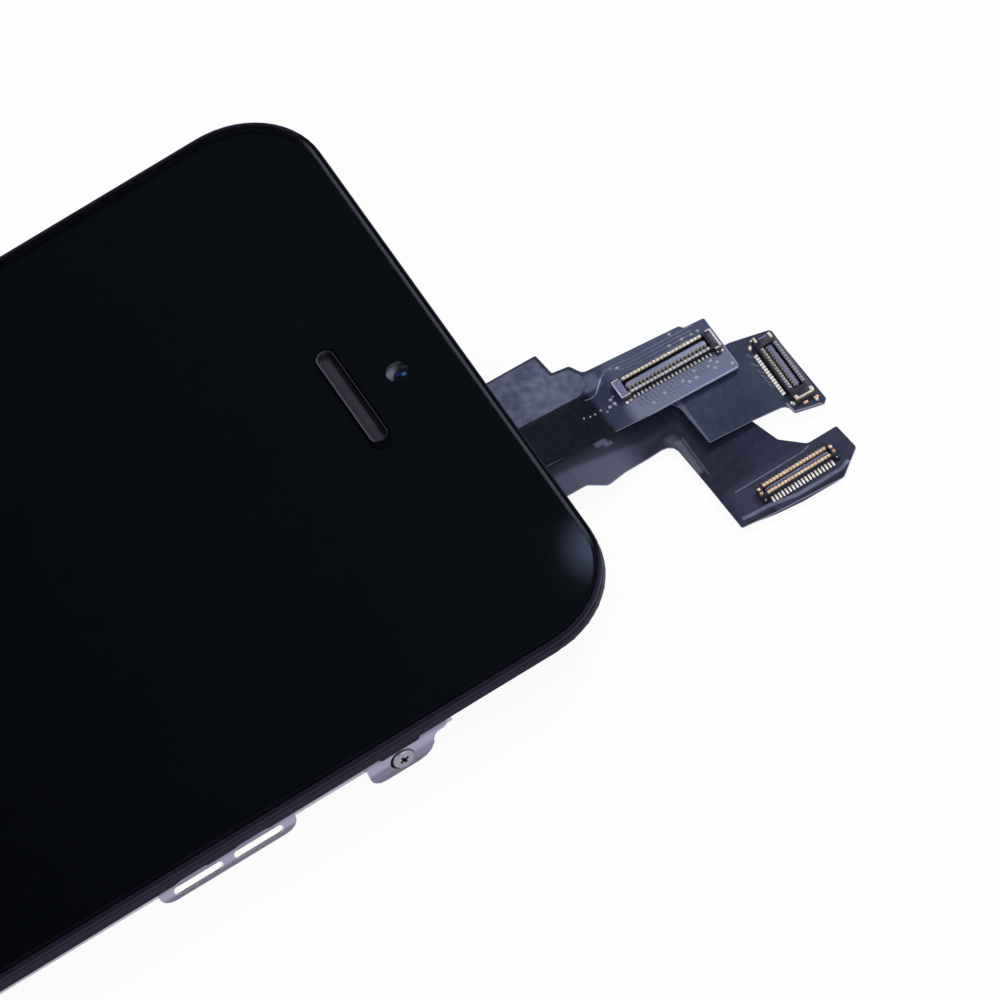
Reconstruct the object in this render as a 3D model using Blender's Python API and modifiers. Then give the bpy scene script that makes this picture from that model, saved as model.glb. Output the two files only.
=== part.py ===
"""Phone display assembly with its touch glass, frame, backlight, small parts and folded flexes.

Frame of the model: +X is the phone's right side, +Y points to its earpiece end and +Z out of the
glass. The origin is the middle of the glass's front face. Heights below the glass are negative.
"""

import math

import bmesh
import bpy
from mathutils import Matrix, Vector

MM = 0.001

# The flexes' and brackets' outlines below are drawn on a grid of this size
GRID = 1.0 * MM

# Glass and moulded frame
FRAME_WIDTH = 57.0 * MM
FRAME_LENGTH = 122.2 * MM
FRAME_RADIUS = 7.15 * MM
LIP_WIDTH = 0.35 * MM
LIP_DROP = 0.14 * MM
GLASS_CLEARANCE = 0.05 * MM
GLASS_THICKNESS = 0.8 * MM
GLASS_CHAMFER = 0.1 * MM
LEDGE_WIDTH = 2.1 * MM
FLOOR_THICKNESS = 0.5 * MM
GROOVE_DEPTH = 0.12 * MM
GROOVE_HEIGHT = 0.12 * MM
GROOVE_DROP = 0.5 * MM
SKIRT_WALL = 0.42 * MM
SKIRT_DROP_END = 1.38 * MM
SKIRT_DROP_MIDDLE = 1.62 * MM
SKIRT_NOTCH = 0.2 * MM
APRON_DEPTH = 0.3 * MM
CORNER_STEPS = 7
SKIRT_INSET = 0.03 * MM
EMBED = 0.03 * MM

# Clearance between thin layers that are glued or stacked, and between folded sheets
LAYER_GAP = 0.07 * MM
SEAT_GAP = 0.2 * MM

# Display stack
CELL_SIDE_MARGIN = 2.6 * MM
CELL_WIDTH = FRAME_WIDTH - 2 * CELL_SIDE_MARGIN
CELL_TOP = 14.6 * MM
CELL_BOTTOM = 15.0 * MM
CELL_THICKNESS = 0.9 * MM
BOND_LEDGE = 2.6 * MM
CELL_WINDOW_GAP = 0.3 * MM
TRAY_SIDE_GAP = 0.3 * MM
FILM_THICKNESS = 0.25 * MM
GUIDE_THICKNESS = 0.5 * MM
REFLECTOR_THICKNESS = 0.1 * MM
TRAY_SHEET = 0.15 * MM
TRAY_WALL = 0.25 * MM
LED_COUNT = 8
LED_LENGTH = 3.0 * MM
LED_WIDTH = 0.8 * MM
LED_HEIGHT = 0.6 * MM
LED_PITCH = 5.6 * MM
LED_STRIP_WIDTH = 2.0 * MM

# Side rails and shield plate, both folded steel sheet
RAIL_SHEET = 0.4 * MM
RAIL_INSET = 0.5 * MM
RAIL_FLANGE = 1.5 * MM
RAIL_START = 16.5 * MM
RAIL_BASE_DROP = 2.25 * MM
SCREW_TAB_TOP = 17.8 * MM
SCREW_TAB_BOTTOM = 23.35 * MM
SCREW_TAB_DROP = 4.75 * MM
SCREW_FINGER_DROP = 2.78 * MM
SIDE_SCREW_FROM_END = 20.5 * MM
SIDE_SCREW_DROP = 3.55 * MM
SCREW_RECESS_RADIUS = 1.22 * MM
SCREW_RECESS_DEPTH = 0.2 * MM
SCREW_HOLE_RADIUS = 0.75 * MM
SLOT_TAB_TOP = 29.45 * MM
SLOT_TAB_BOTTOM = 41.0 * MM
SLOT_TAB_DROP = 3.95 * MM
TAB_SLOT_LENGTH = 4.15 * MM
TAB_SLOT_HEIGHT = 1.14 * MM
TAB_SLOT_STARTS = (30.6 * MM, 35.7 * MM)
TAB_SLOT_DROP = 2.43 * MM
PLATE_SHEET = 0.25 * MM
PLATE_WALL_TOP_DROP = 2.05 * MM
PLATE_TOP = 16.0 * MM
PLATE_BOTTOM = 16.2 * MM
EAR_LENGTH = 5.2 * MM
EAR_DROP = 4.45 * MM
EAR_CORNER = 0.55 * MM
EAR_NOTCH = 2.6 * MM
EMBOSS_DEPTH = 0.15 * MM
EMBOSS_MARGIN = 5.0 * MM

# Small screws with a cross recess
SCREW_HEAD_RADIUS = 1.0 * MM
SCREW_HEAD_HEIGHT = 0.36 * MM
SCREW_SHANK_RADIUS = 0.6 * MM
SIDE_SCREW_LENGTH = 1.25 * MM
BRACKET_SCREW_LENGTH = 1.3 * MM
CROSS_LENGTH = 1.1 * MM
CROSS_WIDTH = 0.3 * MM
CROSS_DEPTH = 0.25 * MM

# Earpiece
EARPIECE_FROM_TOP = 8.75 * MM
EARPIECE_SLOT_LENGTH = 10.0 * MM
EARPIECE_SLOT_WIDTH = 1.55 * MM
MESH_CLEARANCE = 0.22 * MM
MESH_DROP = 0.45 * MM
MESH_SHEET = 0.12 * MM
MESH_FLANGE = 0.55 * MM
EARPIECE_GASKET_WALL = 0.7 * MM
EARPIECE_GASKET_HEIGHT = 0.5 * MM
SPEAKER_LENGTH = 13.4 * MM
SPEAKER_WIDTH = 4.6 * MM
SPEAKER_HEIGHT = 1.4 * MM
SPEAKER_OFFSET = 0.85 * MM

# Front camera and sensors
CAMERA_X = 0.2 * MM
CAMERA_FROM_TOP = 4.75 * MM
CAMERA_RING_RADIUS = 1.8 * MM
CAMERA_RING_WALL = 0.45 * MM
CAMERA_RING_HEIGHT = 0.55 * MM
CAMERA_BARREL_RADIUS = 1.2 * MM
CAMERA_LENS_RADIUS = 0.65 * MM
CAMERA_BODY = 4.7 * MM
CAMERA_BODY_HEIGHT = 1.45 * MM
SENSOR_X = -8.1 * MM
SENSOR_FROM_TOP = 8.75 * MM
SENSOR_LENGTH = 1.9 * MM
SENSOR_WIDTH = 2.0 * MM
SENSOR_HOLDER_WALL = 0.3 * MM
SENSOR_EYE_RADIUS = 0.32 * MM
SENSOR_EYE_SPACING = 0.8 * MM
LIGHT_SENSOR_X = -8.4 * MM
LIGHT_SENSOR_FROM_TOP = 4.7 * MM
LIGHT_SENSOR_SIZE = 1.6 * MM
MICROPHONE_X = -9.3 * MM
MICROPHONE_FROM_TOP = 2.35 * MM

# Earpiece bracket and its two bosses
BOSS_RADIUS = 0.95 * MM
PILOT_RADIUS = 0.72 * MM
TOP_BOSSES = ((-12.8 * MM, 7.0 * MM), (7.7 * MM, 5.9 * MM))
BRACKET_LOW = 12.5 * MM
BRACKET_HIGH = 4.75 * MM
EARPIECE_BRACKET_DROP = 3.32 * MM
BRACKET_SHEET = 0.2 * MM

# Flexes: thin printed films that leave the display and hang a little past the top edge
FLEX_THICKNESS = 0.12 * MM
TAIL_DIP_LENGTH = 5.0 * MM
TAIL_REACH = 24.0 * MM
TAIL_SLOPE = 0.066
SENSOR_RAMP = (-6.6 * MM, -3.4 * MM)
SENSOR_DROOP_LENGTH = 8.8 * MM
DISPLAY_STIFFENER = (4.9 * MM, 8.4 * MM)
TOUCH_STIFFENER = (7.4 * MM, 2.0 * MM)
SENSOR_STIFFENER = (2.9 * MM, 8.2 * MM)
DISPLAY_FLEX_DROP = 2.45 * MM
TOUCH_FLEX_DROP = 2.9 * MM
SENSOR_FLEX_DROP = 3.4 * MM
SENSOR_FLEX_END_DROP = 4.3 * MM
SENSOR_PAD_DROP = 2.15 * MM
STIFFENER_THICKNESS = 0.15 * MM
FLEX_GLUE_GAP = 0.02 * MM
SHIELD_FILM_THICKNESS = 0.05 * MM

# Board connectors: length, width, height, contacts, pitch
DISPLAY_CONNECTOR = (8.2 * MM, 2.1 * MM, 0.7 * MM, 21, 0.35 * MM)
TOUCH_CONNECTOR = (6.8 * MM, 1.75 * MM, 0.65 * MM, 15, 0.35 * MM)
SENSOR_CONNECTOR = (6.7 * MM, 1.3 * MM, 0.7 * MM, 18, 0.31 * MM)
DISPLAY_CONNECTOR_AT = (10.65 * MM, 11.95 * MM)
TOUCH_CONNECTOR_AT = (15.4 * MM, 18.95 * MM)
SENSOR_CONNECTOR_AT = (24.4 * MM, 15.25 * MM)
CONTACT_TAIL = 0.42 * MM
CONTACT_WIDTH = 0.17 * MM
CONNECTOR_WALL = 0.28 * MM
CONNECTOR_BASE = 0.16 * MM

# Home button, which slides into the glass against a dome switch
HOME_FROM_BOTTOM = 8.1 * MM
HOME_HOLE_RADIUS = 5.45 * MM
HOME_CLEARANCE = 0.2 * MM
HOME_CAP_DROP = 0.18 * MM
HOME_DISH = 0.3 * MM
HOME_FLANGE_WIDTH = 0.6 * MM
HOME_SEAT_RADIUS = 6.15 * MM
HOME_GASKET_RADIUS = 6.6 * MM
HOME_FLANGE_THICKNESS = 0.25 * MM
HOME_STEM_RADIUS = 3.4 * MM
HOME_TRAVEL = 0.2 * MM
HOME_GASKET_THICKNESS = 0.25 * MM
SWITCH_LENGTH = 6.6 * MM
SWITCH_WIDTH = 5.4 * MM
SWITCH_BODY = 0.45 * MM
DOME_RADIUS = 2.2 * MM
DOME_HEIGHT = 0.3 * MM
HOME_BOSS_X = 12.6 * MM
HOME_BRACKET_DROP = 3.4 * MM
HOME_BRACKET_WIDTH = 5.6 * MM
HOME_BRACKET_SHEET = 0.25 * MM

# Heights that follow from the stack
GLASS_BOTTOM = -GLASS_THICKNESS
FLOOR_TOP = GLASS_BOTTOM - LAYER_GAP
FLOOR_BOTTOM = FLOOR_TOP - FLOOR_THICKNESS
CELL_Z = FLOOR_TOP
CELL_BACK = CELL_Z - CELL_THICKNESS
FILM_Z = CELL_BACK - LAYER_GAP
GUIDE_Z = FILM_Z - FILM_THICKNESS - LAYER_GAP
REFLECTOR_Z = GUIDE_Z - GUIDE_THICKNESS - LAYER_GAP
TRAY_FLOOR_Z = REFLECTOR_Z - REFLECTOR_THICKNESS - LAYER_GAP
TRAY_BACK = TRAY_FLOOR_Z - TRAY_SHEET
PLATE_Z = TRAY_BACK - LAYER_GAP
PLATE_BACK = PLATE_Z - PLATE_SHEET
TOP_EDGE = FRAME_LENGTH / 2
BOTTOM_EDGE = -FRAME_LENGTH / 2
CELL_Y_HIGH = TOP_EDGE - CELL_TOP
CELL_Y_LOW = BOTTOM_EDGE + CELL_BOTTOM
POCKET_WIDTH = FRAME_WIDTH - 2 * LIP_WIDTH
POCKET_LENGTH = FRAME_LENGTH - 2 * LIP_WIDTH
POCKET_RADIUS = FRAME_RADIUS - LIP_WIDTH
GLASS_WIDTH = POCKET_WIDTH - 2 * GLASS_CLEARANCE
GLASS_LENGTH = POCKET_LENGTH - 2 * GLASS_CLEARANCE
GLASS_RADIUS = POCKET_RADIUS - GLASS_CLEARANCE
TRAY_HALF = CELL_WIDTH / 2 + TRAY_SIDE_GAP
RAIL_OUTER = FRAME_WIDTH / 2 - RAIL_INSET
RAIL_INNER = RAIL_OUTER - RAIL_SHEET
RAIL_Z = FLOOR_BOTTOM - LAYER_GAP
PLATE_OUTER = RAIL_INNER - SEAT_GAP
HOME_Y = BOTTOM_EDGE + HOME_FROM_BOTTOM
EARPIECE_Y = TOP_EDGE - EARPIECE_FROM_TOP
CAMERA_Y = TOP_EDGE - CAMERA_FROM_TOP

PARTS = "phone_lcd_screen_assembly"
CUTTERS = "cutters"


def clear_scene():
    for obj in list(bpy.data.objects):
        bpy.data.objects.remove(obj, do_unlink=True)
    for name in (PARTS, CUTTERS):
        collection = bpy.data.collections.new(name)
        bpy.context.scene.collection.children.link(collection)
    bpy.data.collections[CUTTERS].hide_render = True


def finish(name, colour, roughness, metallic=0.0, coat=0.0):
    """A plain surface finish for one kind of piece."""
    found = bpy.data.materials.get(name)
    if found:
        return found
    made = bpy.data.materials.new(name)
    made.use_nodes = True
    shader = made.node_tree.nodes["Principled BSDF"]
    shader.inputs["Base Color"].default_value = (*colour, 1.0)
    shader.inputs["Roughness"].default_value = roughness
    shader.inputs["Metallic"].default_value = metallic
    shader.inputs["Coat Weight"].default_value = coat
    return made


def black_glass():
    return finish("black_glass", (0.004, 0.005, 0.007), 0.04, coat=0.5)


def black_plastic():
    return finish("black_plastic", (0.02, 0.02, 0.028), 0.42)


def rolled_steel():
    return finish("rolled_steel", (0.55, 0.54, 0.6), 0.34, metallic=1.0)


def flex_film():
    return finish("flex_film", (0.035, 0.036, 0.05), 0.38)


def dark_rubber():
    return finish("dark_rubber", (0.015, 0.015, 0.017), 0.75)


def gold_contacts():
    return finish("gold_contacts", (0.72, 0.55, 0.32), 0.3, metallic=1.0)


def add_object(name, mesh, helper=False):
    obj = bpy.data.objects.new(name, mesh)
    bpy.data.collections[CUTTERS if helper else PARTS].objects.link(obj)
    if helper:
        obj.hide_render = True
        obj.display_type = "WIRE"
    return obj


def box(name, low, high, helper=False):
    """A box between two corners."""
    mesh = bpy.data.meshes.new(name)
    shape = bmesh.new()
    bmesh.ops.create_cube(shape, size=1.0)
    size = Vector(high) - Vector(low)
    bmesh.ops.scale(shape, vec=size, verts=shape.verts)
    shape.to_mesh(mesh)
    shape.free()
    obj = add_object(name, mesh, helper)
    obj.location = (Vector(high) + Vector(low)) / 2
    return obj


def rod(name, radius, start, end, sides=20, helper=False):
    """A round bar from one point to another."""
    mesh = bpy.data.meshes.new(name)
    shape = bmesh.new()
    span = Vector(end) - Vector(start)
    bmesh.ops.create_cone(
        shape, cap_ends=True, segments=sides, radius1=radius, radius2=radius, depth=span.length
    )
    shape.to_mesh(mesh)
    shape.free()
    obj = add_object(name, mesh, helper)
    obj.rotation_euler = span.to_track_quat("Z", "Y").to_euler()
    obj.location = (Vector(start) + Vector(end)) / 2
    return obj


def arc(centre, radius, start, end, steps):
    """Points along an arc, from one angle to another."""
    points = []
    for step in range(steps + 1):
        angle = start + (end - start) * step / steps
        points.append((centre[0] + radius * math.cos(angle), centre[1] + radius * math.sin(angle)))
    return points


def rounded_rectangle(width, length, radius, centre=(0.0, 0.0), steps=4):
    """A rectangle with round corners, as a loop of points."""
    half_x, half_y = width / 2 - radius, length / 2 - radius
    corners = ((half_x, half_y), (-half_x, half_y), (-half_x, -half_y), (half_x, -half_y))
    loop = []
    for quarter, (x, y) in enumerate(corners):
        start = quarter * math.pi / 2
        loop += arc((centre[0] + x, centre[1] + y), radius, start, start + math.pi / 2, steps)
    return loop


def circle(radius, centre=(0.0, 0.0), steps=24):
    return arc(centre, radius, 0.0, 2 * math.pi, steps)[:-1]


def filleted(corners, steps=4):
    """A loop through (x, y, radius) corners, each rounded by its own radius."""
    loop = []
    count = len(corners)
    for index, (x, y, radius) in enumerate(corners):
        here = Vector((x, y))
        if radius <= 0:
            loop.append((x, y))
            continue
        before = (Vector(corners[index - 1][:2]) - here).normalized()
        after = (Vector(corners[(index + 1) % count][:2]) - here).normalized()
        half_angle = before.angle(after) / 2
        middle = here + (before + after).normalized() * radius / math.sin(half_angle)
        first = here + before * radius / math.tan(half_angle) - middle
        last = here + after * radius / math.tan(half_angle) - middle
        start = math.atan2(first.y, first.x)
        turn = math.atan2(first.x * last.y - first.y * last.x, first.dot(last))
        loop += arc(middle, radius, start, start + turn, steps)
    return loop


def solid_outline(name, loop, height):
    """The area inside one loop, as a flat face or with a thickness."""
    shape = bmesh.new()
    low = [shape.verts.new((x, y, -height / 2)) for x, y in loop]
    if height:
        high = [shape.verts.new((x, y, height / 2)) for x, y in loop]
        for index in range(len(loop)):
            shape.faces.new((low[index - 1], low[index], high[index], high[index - 1]))
        shape.faces.new(high)
    shape.faces.new(low)
    if height:
        bmesh.ops.recalc_face_normals(shape, faces=shape.faces)
    mesh = bpy.data.meshes.new(name)
    shape.to_mesh(mesh)
    shape.free()
    return mesh


def outline_mesh(name, loops, height):
    """The area inside the first loop and outside the others, with a thickness.

    The curve is filled at a thousand times the size, where its fill doesn't lose small corners.
    """
    if len(loops) == 1:
        return solid_outline(name, loops[0], height)
    flat = bpy.data.curves.new(name, "CURVE")
    flat.dimensions = "2D"
    flat.fill_mode = "BOTH"
    flat.extrude = height / 2 / MM
    for loop in loops:
        spline = flat.splines.new("POLY")
        spline.points.add(len(loop) - 1)
        for point, (x, y) in zip(spline.points, loop):
            point.co = (x / MM, y / MM, 0.0, 1.0)
        spline.use_cyclic_u = True
    guide = bpy.data.objects.new(name, flat)
    bpy.context.scene.collection.objects.link(guide)
    graph = bpy.context.evaluated_depsgraph_get()
    mesh = bpy.data.meshes.new_from_object(guide.evaluated_get(graph))
    bpy.data.objects.remove(guide, do_unlink=True)
    shape = bmesh.new()
    shape.from_mesh(mesh)
    bmesh.ops.remove_doubles(shape, verts=shape.verts, dist=0.001)
    bmesh.ops.scale(shape, vec=(MM, MM, MM), verts=shape.verts)
    bmesh.ops.recalc_face_normals(shape, faces=shape.faces)
    shape.to_mesh(mesh)
    shape.free()
    mesh.name = name
    return mesh


def plate(name, loops, z_low, z_high, helper=False):
    """A level plate cut to an outline seen from the front."""
    obj = add_object(name, outline_mesh(name, loops, z_high - z_low), helper)
    obj.location = (0.0, 0.0, (z_low + z_high) / 2)
    return obj


def side_plate(name, loops, x_low, x_high, helper=False):
    """An upright plate cut to an outline of (y, z) points seen from the right."""
    obj = add_object(name, outline_mesh(name, loops, x_high - x_low), helper)
    obj.rotation_euler = (math.pi / 2, 0.0, math.pi / 2)
    obj.location = ((x_low + x_high) / 2, 0.0, 0.0)
    return obj


def turned(name, profile, centre=(0.0, 0.0, 0.0), sides=24, closed=False, helper=False):
    """A turned solid: the profile's (radius, height) points run down its outer side."""
    mesh = bpy.data.meshes.new(name)
    points = [(radius, 0.0, height) for radius, height in profile]
    edges = [(i, i + 1) for i in range(len(points) - 1)]
    if closed:
        edges.append((len(points) - 1, 0))
    mesh.from_pydata(points, edges, [])
    obj = add_object(name, mesh, helper)
    obj.location = centre
    spin = obj.modifiers.new("turn", "SCREW")
    spin.steps = sides
    spin.render_steps = sides
    spin.use_merge_vertices = True
    spin.merge_threshold = 0.001 * MM
    weld = obj.modifiers.new("close", "WELD")
    weld.merge_threshold = 0.0005 * MM
    return obj


def combine(piece, other, operation):
    change = piece.modifiers.new(other.name, "BOOLEAN")
    change.operation = operation
    change.solver = "EXACT"
    change.object = other
    return piece


def fuse(piece, *others):
    for other in others:
        combine(piece, other, "UNION")
    return piece


def cut(piece, *others):
    for other in others:
        combine(piece, other, "DIFFERENCE")
    return piece


def soften(piece, width, segments=1):
    """Small bevels along the sharp edges."""
    edge = piece.modifiers.new("edges", "BEVEL")
    edge.width = width
    edge.segments = segments
    edge.limit_method = "ANGLE"
    edge.angle_limit = math.radians(50)
    return piece


def dress(piece, surface):
    piece.data.materials.clear()
    piece.data.materials.append(surface)
    return piece


def set_down(pieces, placement):
    """Moves pieces that were shaped at the origin to their place, all by the same matrix."""
    bpy.context.view_layer.update()
    for piece in pieces:
        piece.matrix_world = placement @ piece.matrix_world


def oblong(length, width, centre, steps=6):
    """A slot's outline, long in X, with round ends."""
    radius = width / 2
    reach = length / 2 - radius
    right = arc((centre[0] + reach, centre[1]), radius, -math.pi / 2, math.pi / 2, 2 * steps)
    left = arc((centre[0] - reach, centre[1]), radius, math.pi / 2, 3 * math.pi / 2, 2 * steps)
    return right + left


def below_top(distance):
    return TOP_EDGE - distance


def cover_glass():
    outer = rounded_rectangle(GLASS_WIDTH, GLASS_LENGTH, GLASS_RADIUS, steps=CORNER_STEPS)
    slot = oblong(EARPIECE_SLOT_LENGTH, EARPIECE_SLOT_WIDTH, (0.0, EARPIECE_Y))
    button = circle(HOME_HOLE_RADIUS, (0.0, HOME_Y), 36)
    glass = plate("cover_glass", [outer, slot, button], GLASS_BOTTOM, 0.0)
    soften(glass, GLASS_CHAMFER)
    return dress(glass, black_glass())


def skirt_outline():
    """The frame's hanging side wall, seen from the right, with its notches and screw aprons."""
    top_z = FLOOR_BOTTOM + FLOOR_THICKNESS / 2
    end = TOP_EDGE - FRAME_RADIUS
    deep = below_top(SLOT_TAB_BOTTOM + 7 * MM)
    slope = (SKIRT_DROP_MIDDLE - SKIRT_DROP_END) / (end - deep)

    def bottom(y):
        return -SKIRT_DROP_END - slope * (end - max(y, deep))

    ramp = 0.8 * MM
    half = [(end, bottom(end))]
    apron_top = below_top(SIDE_SCREW_FROM_END) + 1.7 * MM
    apron_low = below_top(SIDE_SCREW_FROM_END) - 1.6 * MM
    for y, extra in ((apron_top, 0.0), (apron_top - ramp / 4, APRON_DEPTH)):
        half.append((y, bottom(y) - extra))
    for y, extra in ((apron_low, APRON_DEPTH), (apron_low - ramp / 4, 0.0)):
        half.append((y, bottom(y) - extra))
    for start in TAB_SLOT_STARTS:
        notch_top = below_top(start + 1.1 * MM)
        notch_low = below_top(start + TAB_SLOT_LENGTH - 1.0 * MM)
        half.append((notch_top, bottom(notch_top)))
        half.append((notch_top - ramp / 4, bottom(notch_top) + SKIRT_NOTCH))
        half.append((notch_low, bottom(notch_low) + SKIRT_NOTCH))
        half.append((notch_low - ramp, bottom(notch_low)))
    half.append((deep, bottom(deep)))
    mirrored = [(-y, z) for y, z in reversed(half)]
    return [(end, top_z)] + half + mirrored + [(-end, top_z)]


def dish(name, width, length, radius, profile):
    """A solid whose rounded outline shrinks by an inset at each height, closed at both ends."""
    shape = bmesh.new()
    rings = []
    for inset, z in profile:
        loop = rounded_rectangle(width - 2 * inset, length - 2 * inset, radius - inset, steps=CORNER_STEPS)
        rings.append([shape.verts.new((x, y, z)) for x, y in loop])
    count = len(rings[0])
    for low, high in zip(rings, rings[1:]):
        for index in range(count):
            after = (index + 1) % count
            shape.faces.new((low[index], low[after], high[after], high[index]))
    shape.faces.new(list(reversed(rings[0])))
    shape.faces.new(rings[-1])
    mesh = bpy.data.meshes.new(name)
    shape.to_mesh(mesh)
    shape.free()
    return add_object(name, mesh)


def frame_windows():
    """Openings in the shelf under the glass: display, gasket, camera, both sensors and button."""
    high = CELL_Y_HIGH + CELL_WINDOW_GAP
    low = CELL_Y_LOW - CELL_WINDOW_GAP
    sensor_y = below_top(SENSOR_FROM_TOP)
    holder = 2 * SENSOR_HOLDER_WALL + 4 * SEAT_GAP
    rubber = 2 * EARPIECE_GASKET_WALL + 2 * SEAT_GAP
    light = LIGHT_SENSOR_SIZE + 3 * SEAT_GAP
    light_at = (LIGHT_SENSOR_X, below_top(LIGHT_SENSOR_FROM_TOP))
    loops = {
        "display_window": rounded_rectangle(
            FRAME_WIDTH - 2 * LEDGE_WIDTH, high - low, 0.6 * MM, (0.0, (high + low) / 2), 2
        ),
        "earpiece_window": oblong(
            EARPIECE_SLOT_LENGTH + rubber, EARPIECE_SLOT_WIDTH + rubber, (0.0, EARPIECE_Y), 3
        ),
        "camera_window": circle(CAMERA_RING_RADIUS + SEAT_GAP, (CAMERA_X, CAMERA_Y), 20),
        "sensor_window": rounded_rectangle(
            SENSOR_LENGTH + holder, SENSOR_WIDTH + holder, 0.5 * MM, (SENSOR_X, sensor_y), 2
        ),
        "light_window": rounded_rectangle(light, light, 0.3 * MM, light_at, 2),
        "button_window": circle(HOME_SEAT_RADIUS, (0.0, HOME_Y), 28),
    }
    return [plate(name, [loop], FLOOR_BOTTOM - MM, FLOOR_TOP + MM, True) for name, loop in loops.items()]


def bezel_frame():
    """One moulding: shelf, lip round the glass, side skirts and screw bosses."""
    groove = -LIP_DROP - GROOVE_DROP
    round_off = LIP_WIDTH / 3
    profile = [
        (0.0, FLOOR_BOTTOM),
        (0.0, groove - GROOVE_HEIGHT / 2),
        (GROOVE_DEPTH, groove - GROOVE_HEIGHT / 4),
        (GROOVE_DEPTH, groove + GROOVE_HEIGHT / 4),
        (SKIRT_INSET, groove + GROOVE_HEIGHT / 2),
        (SKIRT_INSET, -LIP_DROP - round_off),
        (SKIRT_INSET + round_off, -LIP_DROP),
        (LIP_WIDTH - round_off / 2, -LIP_DROP),
        (LIP_WIDTH, -LIP_DROP - round_off / 2),
        (LIP_WIDTH, FLOOR_TOP),
    ]
    frame = dish("bezel_frame", FRAME_WIDTH, FRAME_LENGTH, FRAME_RADIUS, profile)
    cut(frame, *frame_windows())
    for side, name in ((1, "right"), (-1, "left")):
        outer = side * (FRAME_WIDTH / 2 - SKIRT_INSET)
        edges = sorted((outer, outer - side * SKIRT_WALL))
        fuse(frame, side_plate("frame_skirt_" + name, [skirt_outline()], *edges, helper=True))
    embed = FLOOR_BOTTOM + FLOOR_THICKNESS / 2
    top_end = -EARPIECE_BRACKET_DROP + LAYER_GAP
    home_end = -HOME_BRACKET_DROP + LAYER_GAP
    bosses = [("top_boss_%d" % index, x, below_top(drop), top_end) for index, (x, drop) in enumerate(TOP_BOSSES)]
    bosses += [("home_boss_left", -HOME_BOSS_X, HOME_Y, home_end), ("home_boss_right", HOME_BOSS_X, HOME_Y, home_end)]
    for name, x, y, end in bosses:
        fuse(frame, rod(name, BOSS_RADIUS, (x, y, embed), (x, y, end), 14, True))
        cut(frame, rod(name + "_pilot", PILOT_RADIUS, (x, y, FLOOR_BOTTOM), (x, y, end - MM), 10, True))
    return dress(frame, black_plastic())


def lcd_cell():
    """Two bonded panes: the rear one is longer and carries the flexes on its bare end."""
    half = CELL_WIDTH / 2
    middle = CELL_Z - CELL_THICKNESS / 2
    rear = box("lcd_cell", (-half, CELL_Y_LOW, CELL_BACK), (half, CELL_Y_HIGH, middle))
    inner = half - EMBED
    front = box(
        "cell_front",
        (-inner, CELL_Y_LOW + EMBED, middle - EMBED),
        (inner, CELL_Y_HIGH - BOND_LEDGE, CELL_Z),
        True,
    )
    return dress(fuse(rear, front), black_glass())


def backlight():
    """Diffusing films, light guide, mirror film and the row of LEDs, in a folded tray."""
    half = CELL_WIDTH / 2 - CELL_WINDOW_GAP
    high = CELL_Y_HIGH - TRAY_WALL - CELL_WINDOW_GAP
    low = CELL_Y_LOW + TRAY_WALL + CELL_WINDOW_GAP
    guide_low = low + LED_STRIP_WIDTH + 0.3 * MM
    white = finish("white_film", (0.85, 0.86, 0.88), 0.5)
    clear = finish("clear_acrylic", (0.8, 0.84, 0.86), 0.15)
    mirror = finish("mirror_film", (0.85, 0.86, 0.88), 0.12, metallic=1.0)
    films = box("diffuser_films", (-half, guide_low, FILM_Z - FILM_THICKNESS), (half, high, FILM_Z))
    dress(films, white)
    guide = box("light_guide", (-half, guide_low, GUIDE_Z - GUIDE_THICKNESS), (half, high, GUIDE_Z))
    dress(guide, clear)
    mirror_low = REFLECTOR_Z - REFLECTOR_THICKNESS
    reflector = box("reflector_film", (-half, low, mirror_low), (half, high, REFLECTOR_Z))
    dress(reflector, mirror)
    strip = box("led_strip", (-half, low, FILM_Z - FLEX_THICKNESS), (half, low + LED_STRIP_WIDTH, FILM_Z))
    for index in range(LED_COUNT):
        x = (index - (LED_COUNT - 1) / 2) * LED_PITCH
        top = low + LED_STRIP_WIDTH - 0.15 * MM
        corner_low = (x - LED_LENGTH / 2, top - LED_WIDTH, FILM_Z - FLEX_THICKNESS - LED_HEIGHT)
        corner_high = (x + LED_LENGTH / 2, top, FILM_Z - FLEX_THICKNESS / 2)
        fuse(strip, box(f"led_{index}", corner_low, corner_high, True))
    dress(strip, white)
    tray = box("backlight_tray", (-TRAY_HALF, CELL_Y_LOW, TRAY_BACK), (TRAY_HALF, CELL_Y_HIGH, FILM_Z))
    hollow = box(
        "tray_hollow",
        (-TRAY_HALF + TRAY_WALL, CELL_Y_LOW + TRAY_WALL, TRAY_FLOOR_Z),
        (TRAY_HALF - TRAY_WALL, CELL_Y_HIGH - TRAY_WALL, MM),
        True,
    )
    cut(tray, hollow)
    dress(tray, rolled_steel())


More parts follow.
